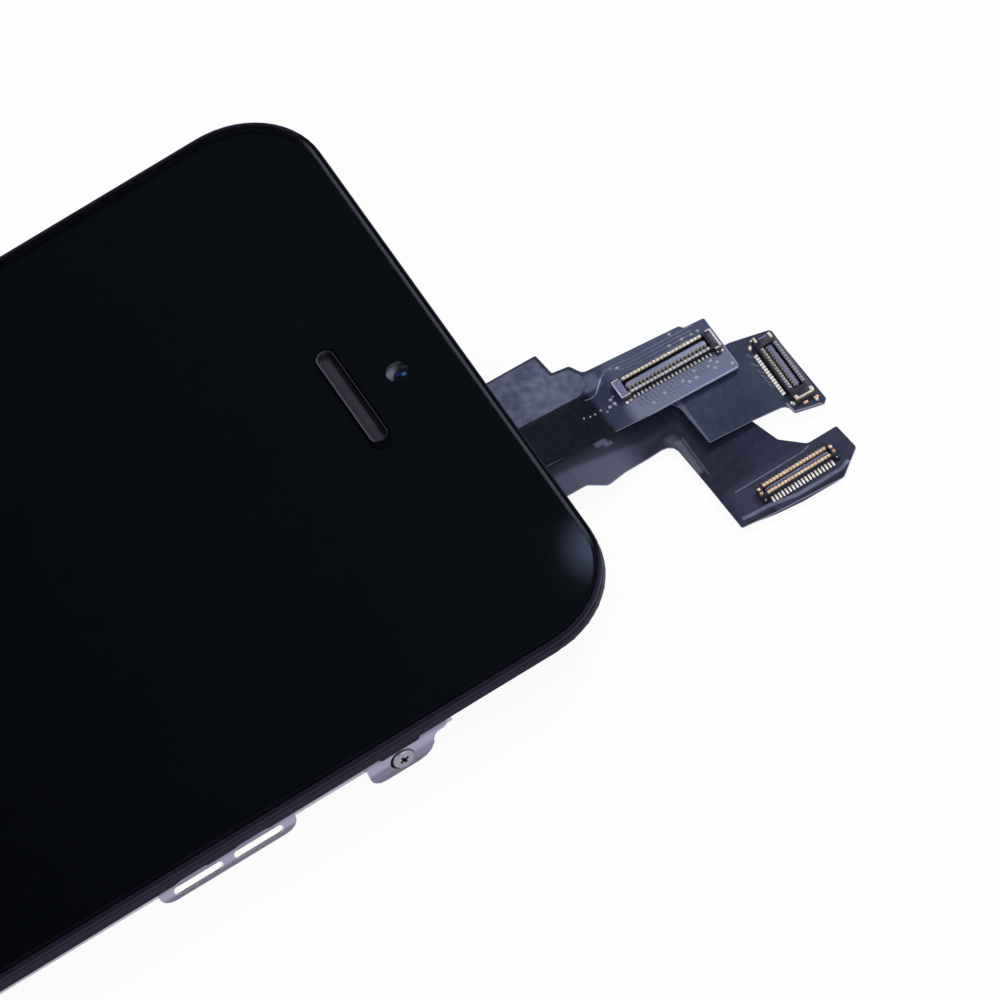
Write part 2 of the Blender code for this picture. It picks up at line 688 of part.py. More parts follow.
def shield_plate():
    """A pressed cover behind the display, with upturned sides, ears for the side screws and a raised field."""
    high, low = below_top(PLATE_TOP), BOTTOM_EDGE + PLATE_BOTTOM
    pan = box("shield_plate", (-PLATE_OUTER, low, PLATE_BACK), (PLATE_OUTER, high, -PLATE_WALL_TOP_DROP))
    inner = PLATE_OUTER - PLATE_SHEET
    hollow = box("pan_hollow", (-inner, low - MM, PLATE_Z), (inner, high + MM, MM), True)
    cut(pan, hollow)
    for side in (-1, 1):
        for end in (-1, 1):
            name = f"{'right' if side > 0 else 'left'}_{'top' if end > 0 else 'bottom'}"
            y = end * (TOP_EDGE - SIDE_SCREW_FROM_END)
            edges = sorted((side * (PLATE_OUTER - EMBED), side * (inner + EMBED)))
            middle_z = (-EAR_DROP + PLATE_Z) / 2
            ear_loop = rounded_rectangle(EAR_LENGTH, EAR_DROP + PLATE_Z, EAR_CORNER, (y, middle_z), 3)
            fuse(pan, side_plate("ear_" + name, [ear_loop], *edges, helper=True))
            reach = sorted((side * (inner - 0.9 * MM), side * (inner + EMBED / 2)))
            cut(
                pan,
                box(
                    "ear_notch_" + name,
                    (reach[0], y - EAR_NOTCH / 2, PLATE_BACK - MM),
                    (reach[1], y + EAR_NOTCH / 2, PLATE_Z + 0.4 * MM),
                    True,
                ),
            )
            ends = ((side * (inner - MM), y, -SIDE_SCREW_DROP), (side * (PLATE_OUTER + MM), y, -SIDE_SCREW_DROP))
            cut(pan, rod("ear_hole_" + name, PILOT_RADIUS, *ends, 14, True))
    field = rounded_rectangle(
        2 * (inner - EMBOSS_MARGIN), high - low - 2 * EMBOSS_MARGIN, 3.0 * MM, (0.0, (high + low) / 2), 4
    )
    dent = rounded_rectangle(
        2 * (inner - EMBOSS_MARGIN - PLATE_SHEET),
        high - low - 2 * EMBOSS_MARGIN - 2 * PLATE_SHEET,
        3.0 * MM - PLATE_SHEET,
        (0.0, (high + low) / 2),
        4,
    )
    raised = plate("raised_field", [field], PLATE_BACK - EMBOSS_DEPTH, PLATE_Z - PLATE_SHEET / 2, True)
    fuse(pan, raised)
    cut(pan, plate("pressed_dent", [dent], PLATE_Z - EMBOSS_DEPTH, PLATE_Z + PLATE_SHEET, True))
    return dress(pan, rolled_steel())


def rail_outline():
    """One rail seen from the side: a strip with a screw tab and a slotted tab near each end."""
    small, round_end = 0.2 * MM, 1.15 * MM
    half = [
        (below_top(RAIL_START), RAIL_Z, 0.0),
        (below_top(RAIL_START), -SCREW_FINGER_DROP, 0.5 * MM),
        (below_top(SCREW_TAB_TOP), -SCREW_FINGER_DROP, 0.55 * MM),
        (below_top(SCREW_TAB_TOP), -SCREW_TAB_DROP, 1.7 * MM),
        (below_top(SCREW_TAB_BOTTOM), -SCREW_TAB_DROP, 1.0 * MM),
        (below_top(SCREW_TAB_BOTTOM), -RAIL_BASE_DROP, small),
        (below_top(SLOT_TAB_TOP), -RAIL_BASE_DROP, small),
        (below_top(SLOT_TAB_TOP), -SLOT_TAB_DROP, round_end),
        (below_top(SLOT_TAB_BOTTOM), -SLOT_TAB_DROP, round_end),
        (below_top(SLOT_TAB_BOTTOM), -RAIL_BASE_DROP, small),
    ]
    mirrored = [(-y, z, radius) for y, z, radius in reversed(half)]
    return filleted(half + mirrored)


def tab_slot_loops():
    loops = []
    for start in TAB_SLOT_STARTS:
        y = below_top(start + TAB_SLOT_LENGTH / 2)
        z = -TAB_SLOT_DROP - TAB_SLOT_HEIGHT / 2
        for end in (1, -1):
            loops.append(oblong(TAB_SLOT_LENGTH, TAB_SLOT_HEIGHT, (end * y, z), 5))
    return loops


def side_rail(name, side):
    """Folded strip: a flange under the frame's shelf, and a wall whose tabs hang past it."""
    edges = sorted((side * RAIL_OUTER, side * RAIL_INNER))
    rail = side_plate(name, [rail_outline()], *edges)
    for index, loop in enumerate(tab_slot_loops()):
        cut(rail, side_plate(f"{name}_slot_{index}", [loop], edges[0] - MM, edges[1] + MM, True))
    reach = sorted((side * (RAIL_OUTER - RAIL_FLANGE), side * (RAIL_INNER + RAIL_SHEET / 2)))
    length = below_top(RAIL_START) - RAIL_SHEET
    top = RAIL_Z - EMBED
    flange = box(name + "_flange", (reach[0], -length, top - RAIL_SHEET), (reach[1], length, top), True)
    fuse(rail, flange)
    for end in (-1, 1):
        y = end * (TOP_EDGE - SIDE_SCREW_FROM_END)
        outside = (side * (RAIL_OUTER + MM), y, -SIDE_SCREW_DROP)
        seat = (side * (RAIL_OUTER - SCREW_RECESS_DEPTH), y, -SIDE_SCREW_DROP)
        inside = (side * (RAIL_INNER - MM), y, -SIDE_SCREW_DROP)
        cut(rail, rod(f"{name}_recess_{end}", SCREW_RECESS_RADIUS, outside, seat, 24, True))
        cut(rail, rod(f"{name}_hole_{end}", SCREW_HOLE_RADIUS, outside, inside, 16, True))
    return dress(rail, rolled_steel())


def screw(name, seat, outward, length):
    """A pan-head screw whose head rests on the seat point and whose shank runs the other way."""
    head, shank = SCREW_HEAD_RADIUS, SCREW_SHANK_RADIUS
    profile = [
        (0.0, SCREW_HEAD_HEIGHT),
        (head * 0.72, SCREW_HEAD_HEIGHT),
        (head, SCREW_HEAD_HEIGHT * 0.55),
        (head, 0.0),
        (shank, 0.0),
        (shank, -length + shank / 2),
        (shank / 2, -length),
        (0.0, -length),
    ]
    body = turned(name, profile, sides=14)
    floor = SCREW_HEAD_HEIGHT - CROSS_DEPTH
    long, short = CROSS_LENGTH / 2, CROSS_WIDTH / 2
    slots = (
        box(name + "_slot_a", (-long, -short, floor), (long, short, MM), True),
        box(name + "_slot_b", (-short, -long, floor - EMBED), (short, long, MM), True),
    )
    cut(body, *slots)
    turn = Vector(outward).to_track_quat("Z", "Y").to_matrix().to_4x4()
    set_down((body, *slots), Matrix.Translation(seat) @ turn)
    return dress(body, rolled_steel())


def side_screws():
    for side, where in ((1, "right"), (-1, "left")):
        for end, level in ((1, "upper"), (-1, "lower")):
            seat_x = side * (RAIL_OUTER - SCREW_RECESS_DEPTH + 0.03 * MM)
            seat = (seat_x, end * (TOP_EDGE - SIDE_SCREW_FROM_END), -SIDE_SCREW_DROP)
            screw(f"side_screw_{where}_{level}", seat, (side, 0.0, 0.0), SIDE_SCREW_LENGTH)


def earpiece():
    """Pressed mesh in the slot, its rubber frame, and the speaker behind them."""
    centre = (0.0, EARPIECE_Y)
    length = EARPIECE_SLOT_LENGTH - 2 * MESH_CLEARANCE
    width = EARPIECE_SLOT_WIDTH - 2 * MESH_CLEARANCE
    flange_z = GLASS_BOTTOM - LAYER_GAP
    mesh = plate("earpiece_mesh", [oblong(length, width, centre, 4)], flange_z - MESH_SHEET / 2, -MESH_DROP)
    rim = oblong(EARPIECE_SLOT_LENGTH + 2 * MESH_FLANGE, EARPIECE_SLOT_WIDTH + 2 * MESH_FLANGE, centre, 4)
    fuse(mesh, plate("mesh_flange", [rim], flange_z - MESH_SHEET, flange_z, True))
    inner = oblong(length - 2 * MESH_SHEET, width - 2 * MESH_SHEET, centre, 4)
    cut(mesh, plate("mesh_hollow", [inner], flange_z - MM, -MESH_DROP - MESH_SHEET, True))
    dress(mesh, finish("grey_mesh", (0.3, 0.29, 0.33), 0.5, metallic=0.8))
    outer = oblong(
        EARPIECE_SLOT_LENGTH + 2 * EARPIECE_GASKET_WALL,
        EARPIECE_SLOT_WIDTH + 2 * EARPIECE_GASKET_WALL,
        centre,
        steps=4,
    )
    gasket_z = flange_z - MESH_SHEET - LAYER_GAP
    throat = oblong(EARPIECE_SLOT_LENGTH - 0.4 * MM, EARPIECE_SLOT_WIDTH, centre, steps=4)
    gasket = plate("earpiece_gasket", [outer, throat], gasket_z - EARPIECE_GASKET_HEIGHT, gasket_z)
    dress(gasket, dark_rubber())
    speaker_z = gasket_z - EARPIECE_GASKET_HEIGHT - LAYER_GAP
    middle = (0.0, EARPIECE_Y - SPEAKER_OFFSET)
    body = rounded_rectangle(SPEAKER_LENGTH, SPEAKER_WIDTH, 1.1 * MM, middle, 4)
    speaker = plate("earpiece_speaker", [body], speaker_z - SPEAKER_HEIGHT, speaker_z)
    soften(speaker, 0.15 * MM)
    well = rounded_rectangle(SPEAKER_LENGTH - 2.6 * MM, SPEAKER_WIDTH - 1.6 * MM, 0.7 * MM, middle, 3)
    cut(speaker, plate("speaker_front_well", [well], speaker_z - 0.25 * MM, speaker_z + MM, True))
    for side in (-1, 1):
        x = side * (SPEAKER_LENGTH / 2 - 1.6 * MM)
        pad = rounded_rectangle(1.4 * MM, 2.4 * MM, 0.3 * MM, (x, middle[1]), 2)
        back = speaker_z - SPEAKER_HEIGHT
        fuse(speaker, plate(f"speaker_pad_{side}", [pad], back - 0.05 * MM, back + 0.2 * MM, True))
    dress(speaker, black_plastic())


def camera():
    """Front camera: plastic ring glued behind the glass, lens barrel, lens and square body."""
    ring_z = GLASS_BOTTOM - LAYER_GAP - 0.05 * MM
    inside = CAMERA_RING_RADIUS - CAMERA_RING_WALL
    ring_profile = [
        (inside + 0.25 * MM, 0.0),
        (CAMERA_RING_RADIUS, 0.0),
        (CAMERA_RING_RADIUS, -CAMERA_RING_HEIGHT),
        (inside, -CAMERA_RING_HEIGHT),
        (inside, -0.2 * MM),
    ]
    ring = turned("camera_ring", ring_profile, (CAMERA_X, CAMERA_Y, ring_z), 24, closed=True)
    dress(ring, finish("grey_plastic", (0.32, 0.32, 0.36), 0.4))
    top = ring_z - 0.12 * MM
    body_z = FLOOR_BOTTOM - LAYER_GAP - 0.26 * MM
    barrel_height = top - body_z - LAYER_GAP
    barrel_profile = [
        (0.0, -0.42 * MM),
        (CAMERA_LENS_RADIUS + LAYER_GAP, -0.42 * MM),
        (CAMERA_LENS_RADIUS + LAYER_GAP, -0.2 * MM),
        (CAMERA_BARREL_RADIUS - 0.3 * MM, 0.0),
        (CAMERA_BARREL_RADIUS, 0.0),
        (CAMERA_BARREL_RADIUS, -barrel_height),
        (0.0, -barrel_height),
    ]
    barrel = turned("camera_barrel", barrel_profile, (CAMERA_X, CAMERA_Y, top), 24)
    dress(barrel, black_plastic())
    bulge = 0.18 * MM
    lens_profile = []
    for step in range(5):
        share = step / 4
        lens_profile.append((CAMERA_LENS_RADIUS * share, -0.12 * MM - bulge * share * share))
    lens_profile.append((CAMERA_LENS_RADIUS, -0.36 * MM))
    lens_profile.append((0.0, -0.36 * MM))
    lens = turned("camera_lens", lens_profile, (CAMERA_X, CAMERA_Y, top), 20)
    dress(lens, finish("lens_glass", (0.02, 0.03, 0.08), 0.02, coat=1.0))
    square = rounded_rectangle(CAMERA_BODY, CAMERA_BODY, 0.4 * MM, (CAMERA_X, CAMERA_Y), 2)
    body = plate("camera_body", [square], body_z - CAMERA_BODY_HEIGHT, body_z)
    dress(body, black_plastic())


def sensors():
    """Proximity sensor in its clear holder, light sensor and microphone, all on the sensor flex."""
    pad_top = -SENSOR_PAD_DROP + FLEX_THICKNESS / 2 + 0.04 * MM
    y = below_top(SENSOR_FROM_TOP)
    half_x, half_y = SENSOR_LENGTH / 2, SENSOR_WIDTH / 2
    top = pad_top + 0.85 * MM
    body = box("proximity_sensor", (SENSOR_X - half_x, y - half_y, pad_top), (SENSOR_X + half_x, y + half_y, top))
    for index, side in enumerate((-1, 1)):
        x = SENSOR_X + side * SENSOR_EYE_SPACING / 2
        dome = [
            (0.0, 0.16 * MM),
            (SENSOR_EYE_RADIUS * 0.7, 0.11 * MM),
            (SENSOR_EYE_RADIUS, 0.0),
            (SENSOR_EYE_RADIUS, -0.1 * MM),
            (0.0, -0.1 * MM),
        ]
        fuse(body, turned(f"sensor_eye_{index}", dome, (x, y, top), 12, helper=True))
    dress(body, black_plastic())
    outer = rounded_rectangle(
        SENSOR_LENGTH + 2 * SENSOR_HOLDER_WALL + 2 * SEAT_GAP,
        SENSOR_WIDTH + 2 * SENSOR_HOLDER_WALL + 2 * SEAT_GAP,
        0.5 * MM,
        (SENSOR_X, y),
        3,
    )
    inner = rounded_rectangle(
        SENSOR_LENGTH + 2 * SEAT_GAP, SENSOR_WIDTH + 2 * SEAT_GAP, 0.2 * MM, (SENSOR_X, y), 2
    )
    holder_z = GLASS_BOTTOM - LAYER_GAP - 0.03 * MM
    holder = plate("sensor_holder", [outer, inner], holder_z - 0.8 * MM, holder_z)
    dress(holder, finish("clear_plastic", (0.6, 0.6, 0.65), 0.2))
    half = LIGHT_SENSOR_SIZE / 2
    ly = below_top(LIGHT_SENSOR_FROM_TOP)
    light = box(
        "light_sensor",
        (LIGHT_SENSOR_X - half, ly - half, pad_top),
        (LIGHT_SENSOR_X + half, ly + half, pad_top + 0.8 * MM),
    )
    eye = rod("light_eye", 0.45 * MM, (LIGHT_SENSOR_X, ly, pad_top + 0.7 * MM), (LIGHT_SENSOR_X, ly, 0.0), 14, True)
    cut(light, eye)
    dress(light, black_plastic())
    my = below_top(MICROPHONE_FROM_TOP)
    back = -SENSOR_PAD_DROP - FLEX_THICKNESS / 2 - 0.04 * MM
    can = rounded_rectangle(2.7 * MM, 1.9 * MM, 0.3 * MM, (MICROPHONE_X, my), 3)
    microphone = plate("microphone", [can], back - 0.85 * MM, back)
    hole = rod("mic_port", 0.22 * MM, (MICROPHONE_X + 0.6 * MM, my, back - MM), (MICROPHONE_X + 0.6 * MM, my, back - 0.6 * MM), 12, True)
    cut(microphone, hole)
    dress(microphone, rolled_steel())


def earpiece_bracket():
    """Pressed plate that holds the speaker and the camera down on the frame's two bosses."""
    left, right = TOP_BOSSES
    low, high = below_top(BRACKET_LOW), below_top(BRACKET_HIGH)
    corners = [
        (left[0] - 1.4 * GRID, below_top(left[1]) + 1.4 * GRID, 0.9 * GRID),
        (left[0] - 1.4 * GRID, below_top(left[1]) - 1.6 * GRID, 0.9 * GRID),
        (left[0] + 1.8 * GRID, low + 1.0 * GRID, 1.0 * GRID),
        (-6.9 * GRID, low, 1.0 * GRID),
        (6.9 * GRID, low, 0.8 * GRID),
        (right[0] + 0.9 * GRID, low + 1.2 * GRID, 0.8 * GRID),
        (right[0] + 1.2 * GRID, below_top(right[1]) + 1.15 * GRID, 0.9 * GRID),
        (5.4 * GRID, high, 0.4 * GRID),
        (-4.8 * GRID, high, 0.8 * GRID),
        (-6.4 * GRID, high - 2.6 * GRID, 0.8 * GRID),
    ]
    holes = [circle(SCREW_HOLE_RADIUS, (x, below_top(drop)), 16) for x, drop in TOP_BOSSES]
    window = rounded_rectangle(5.4 * GRID, 1.6 * GRID, 0.6 * GRID, (0.0, EARPIECE_Y - 0.8 * GRID), 4)
    z_high = -EARPIECE_BRACKET_DROP
    bracket = plate("earpiece_bracket", [filleted(corners)] + holes + [window], z_high - BRACKET_SHEET, z_high)
    fold = box(
        "bracket_fold",
        (-5.6 * GRID, low + EMBED, z_high - BRACKET_SHEET + EMBED),
        (5.6 * GRID, low + EMBED + BRACKET_SHEET, z_high + 0.2 * GRID),
        True,
    )
    fuse(bracket, fold)
    dress(bracket, rolled_steel())
    for name, (x, drop) in zip(("left", "right"), TOP_BOSSES):
        seat = (x, below_top(drop), z_high - BRACKET_SHEET - 0.03 * MM)
        screw("earpiece_screw_" + name, seat, (0.0, 0.0, -1.0), BRACKET_SCREW_LENGTH)


def flex_sheet(name, corners, bends_x, bends_y, height):
    """A thin film cut to an outline, creased along straight lines and bent to a height at each."""
    mesh = outline_mesh(name, [filleted(corners, 3)], 0.0)
    shape = bmesh.new()
    shape.from_mesh(mesh)
    for axis, places in ((Vector((1, 0, 0)), bends_x), (Vector((0, 1, 0)), bends_y)):
        for place in places:
            everything = shape.verts[:] + shape.edges[:] + shape.faces[:]
            bmesh.ops.bisect_plane(shape, geom=everything, dist=0.001 * MM, plane_co=axis * place, plane_no=axis)
    for vertex in shape.verts:
        vertex.co.z = height(vertex.co.x, vertex.co.y)
    shape.to_mesh(mesh)
    shape.free()
    film = add_object(name, mesh)
    wall = film.modifiers.new("thickness", "SOLIDIFY")
    wall.thickness = FLEX_THICKNESS
    wall.offset = 0.0
    return dress(film, flex_film())


def stepped(places, heights, value):
    """The height at a place along a row of bends, straight between them."""
    if value <= places[0]:
        return heights[0]
    for index in range(1, len(places)):
        if value <= places[index]:
            share = (value - places[index - 1]) / (places[index] - places[index - 1])
            return heights[index - 1] + share * (heights[index] - heights[index - 1])
    return heights[-1]


def tail_bends(start_drop, tail_drop):
    """Bends of a flex that leaves the display's end, dips behind the frame and droops past the edge."""
    places, heights = [], []
    for step in range(5):
        share = step / 4
        ease = share * share * (3 - 2 * share)
        places.append(CELL_Y_HIGH + CELL_WINDOW_GAP + share * TAIL_DIP_LENGTH)
        heights.append(-start_drop - ease * (tail_drop - start_drop))
    places.append(TOP_EDGE)
    heights.append(-tail_drop)
    places.append(TOP_EDGE + TAIL_REACH)
    heights.append(-tail_drop - TAIL_SLOPE * TAIL_REACH)
    return places, heights


def past_top(corners):
    """Corners in steps of the grid, with Y counted from the frame's top edge."""
    return [(x * GRID, TOP_EDGE + y * GRID, radius * GRID) for x, y, radius in corners]


def display_flex():
    start = (CELL_TOP - CELL_WINDOW_GAP) / GRID
    corners = past_top(
        [
            (9.0, -start, 0.0),
            (12.85, -start, 0.0),
            (12.85, 0.6, 0.0),
            (13.4, 9.1, 0.0),
            (13.5, 16.45, 0.3),
            (8.0, 16.42, 0.2),
            (7.9, 14.75, 0.15),
            (7.55, 14.5, 0.1),
            (7.05, 6.6, 0.5),
            (5.9, 6.05, 0.35),
            (5.7, 4.7, 0.15),
            (3.55, 4.47, 0.1),
            (3.6, -1.2, 0.4),
            (9.0, -1.2, 0.4),
        ]
    )
    places, heights = tail_bends(CELL_Z * -1 + CELL_THICKNESS * 0.8, DISPLAY_FLEX_DROP)
    flex_sheet("display_flex", corners, (), places, lambda x, y: stepped(places, heights, y))
    lift = FLEX_THICKNESS / 2 + FLEX_GLUE_GAP + SHIELD_FILM_THICKNESS / 2
    film = past_top(
        [
            (3.8, -0.9, 0.3),
            (8.7, -0.9, 0.3),
            (8.85, 5.3, 0.4),
            (8.3, 6.4, 0.3),
            (7.2, 6.35, 0.3),
            (6.2, 5.85, 0.3),
            (5.95, 4.45, 0.2),
            (3.8, 4.25, 0.2),
        ]
    )
    shield = flex_sheet("shield_film", film, (), (TOP_EDGE,), lambda x, y: stepped(places, heights, y) + lift)
    shield.modifiers["thickness"].thickness = SHIELD_FILM_THICKNESS
    dress(shield, finish("grey_shield_film", (0.16, 0.16, 0.21), 0.32, metallic=0.5))


def touch_flex():
    start = (CELL_TOP - CELL_WINDOW_GAP) / GRID
    corners = past_top(
        [
            (9.4, -start, 0.0),
            (12.6, -start, 0.0),
            (12.6, 10.4, 0.5),
            (13.8, 11.04, 0.4),
            (17.88, 11.29, 0.15),
            (18.02, 14.8, 0.0),
            (18.3, 17.6, 0.6),
            (19.3, 17.75, 0.15),
            (19.85, 19.95, 0.25),
            (19.5, 20.3, 0.2),
            (11.55, 19.95, 0.2),
            (10.8, 16.9, 0.3),
            (10.8, 11.2, 0.6),
            (9.4, 10.2, 0.6),
        ]
    )
    places, heights = tail_bends(CELL_Z * -1 + CELL_THICKNESS * 1.3, TOUCH_FLEX_DROP)
    return flex_sheet("touch_flex", corners, (), places, lambda x, y: stepped(places, heights, y))


def sensor_flex():
    corners = past_top(
        [
            (-11.2, -10.2, 0.4),
            (-6.9, -10.2, 0.4),
            (-6.9, -4.2, 0.5),
            (15.5, -4.2, 0.8),
            (15.5, 2.1, 0.3),
            (16.4, 3.4, 0.5),
            (16.0, 5.0, 0.4),
            (15.7, 9.1, 0.9),
            (20.9, 9.4, 0.0),
            (25.5, 9.6, 0.15),
            (25.9, 12.4, 0.0),
            (26.35, 17.9, 0.5),
            (24.6, 19.95, 0.3),
            (22.1, 19.7, 0.15),
            (22.1, 17.2, 0.6),
            (20.4, 15.6, 0.5),
            (17.7, 14.85, 0.4),
            (12.0, 14.85, 0.6),
            (12.0, -0.9, 0.5),
            (-11.2, -0.9, 0.5),
        ]
    )
    ramp_z = (-SENSOR_PAD_DROP, -SENSOR_FLEX_DROP)
    places, heights = [TOP_EDGE], [0.0]
    for step in range(1, 6):
        share = step / 5
        places.append(TOP_EDGE + share * SENSOR_DROOP_LENGTH)
        heights.append((SENSOR_FLEX_DROP - SENSOR_FLEX_END_DROP) * share * share * (3 - 2 * share))

    def height(x, y):
        return stepped(SENSOR_RAMP, ramp_z, x) + stepped(places, heights, y)

    return flex_sheet("sensor_flex", corners, SENSOR_RAMP, places, height)


def stiffener(name, width, length, centre, flex_z, tilt):
    """A thin board glued behind the flex under its connector."""
    loop = rounded_rectangle(width, length, 0.3 * MM, steps=2)
    z_high = -FLEX_THICKNESS / 2 - FLEX_GLUE_GAP
    board = plate(name, [loop], z_high - STIFFENER_THICKNESS, z_high)
    place = Matrix.Translation((centre[0], TOP_EDGE + centre[1], flex_z)) @ Matrix.Rotation(-tilt, 4, "X")
    set_down((board,), place)
    return dress(board, finish("stiffener_board", (0.05, 0.05, 0.06), 0.45))


def comb_loop(width, length, contacts, pitch):
    """The connector's foot: a rectangle with a row of solder tails along both long sides."""
    half, reach = width / 2, width / 2 + CONTACT_TAIL
    side = [(half, -length / 2)]
    for index in range(contacts):
        y = (index - (contacts - 1) / 2) * pitch
        for x, step in ((half, -1), (reach, -1), (reach, 1), (half, 1)):
            side.append((x, y + step * CONTACT_WIDTH / 2))
    side.append((half, length / 2))
    return side + [(-x, -y) for x, y in side]


def connector(name, sizes, centre, flex_z, tilt, lengthwise):
    """Board connector: a comb of solder tails under a walled trough with a tongue in it."""
    length, width, height, contacts, pitch = sizes
    foot = plate(name, [comb_loop(width, length, contacts, pitch)], 0.0, CONNECTOR_BASE)
    outer = rounded_rectangle(width - 2 * EMBED, length - 2 * EMBED, 0.12 * MM, steps=1)
    trough = rounded_rectangle(width - 2 * CONNECTOR_WALL, length - 3.2 * CONNECTOR_WALL, 0.08 * MM, steps=1)
    wall = plate(name + "_wall", [outer, trough], CONNECTOR_BASE / 2, height, True)
    tongue_width = (width - 2 * CONNECTOR_WALL) * 0.42
    tongue = rounded_rectangle(tongue_width, length - 5.6 * CONNECTOR_WALL, 0.06 * MM, steps=1)
    bar = plate(name + "_tongue", [tongue], CONNECTOR_BASE / 2, height * 0.86, True)
    fuse(foot, wall, bar)
    turn = Matrix.Rotation(0.0 if lengthwise else math.pi / 2, 4, "Z")
    lift = Matrix.Translation((0.0, 0.0, FLEX_THICKNESS / 2 + FLEX_GLUE_GAP))
    place = Matrix.Translation((centre[0], TOP_EDGE + centre[1], flex_z)) @ Matrix.Rotation(-tilt, 4, "X")
    set_down((foot, wall, bar), place @ lift @ turn)
    return dress(foot, gold_contacts())


def flexes_and_connectors():
    display_flex()
    touch_flex()
    sensor_flex()
    tilt = math.atan(TAIL_SLOPE)
    display_z = -DISPLAY_FLEX_DROP - TAIL_SLOPE * DISPLAY_CONNECTOR_AT[1]
    touch_z = -TOUCH_FLEX_DROP - TAIL_SLOPE * TOUCH_CONNECTOR_AT[1]
    sensor_z = -SENSOR_FLEX_END_DROP
    stiffener("display_stiffener", *DISPLAY_STIFFENER, DISPLAY_CONNECTOR_AT, display_z, tilt)
    stiffener("touch_stiffener", *TOUCH_STIFFENER, TOUCH_CONNECTOR_AT, touch_z, tilt)
    stiffener("sensor_stiffener", *SENSOR_STIFFENER, SENSOR_CONNECTOR_AT, sensor_z, 0.0)
    connector("display_connector", DISPLAY_CONNECTOR, DISPLAY_CONNECTOR_AT, display_z, tilt, True)
    connector("touch_connector", TOUCH_CONNECTOR, TOUCH_CONNECTOR_AT, touch_z, tilt, False)
    connector("sensor_connector", SENSOR_CONNECTOR, SENSOR_CONNECTOR_AT, sensor_z, 0.0, True)


def home_button():
    """Dished cap with a flange that keeps it under the glass and a stem that presses the switch."""
    radius = HOME_HOLE_RADIUS - HOME_CLEARANCE
    flange_top = GLASS_BOTTOM - 2 * LAYER_GAP
    flange_low = flange_top - HOME_FLANGE_THICKNESS
    stem_low = flange_low - 0.85 * MM
    profile = []
    for step in range(6):
        share = step / 5
        reach = radius - 0.5 * MM
        profile.append((reach * share, -HOME_CAP_DROP - HOME_DISH * (1 - share * share)))
    profile += [
        (radius - 0.12 * MM, -HOME_CAP_DROP),
        (radius, -HOME_CAP_DROP - 0.12 * MM),
        (radius, flange_top),
        (radius + HOME_FLANGE_WIDTH, flange_top),
        (radius + HOME_FLANGE_WIDTH, flange_low),
        (HOME_STEM_RADIUS, flange_low),
        (HOME_STEM_RADIUS, stem_low),
        (0.0, stem_low),
    ]
    cap = turned("home_button", profile, (0.0, HOME_Y, 0.0), 40)
    dress(cap, finish("button_plastic", (0.012, 0.012, 0.014), 0.25))
    return flange_low, stem_low


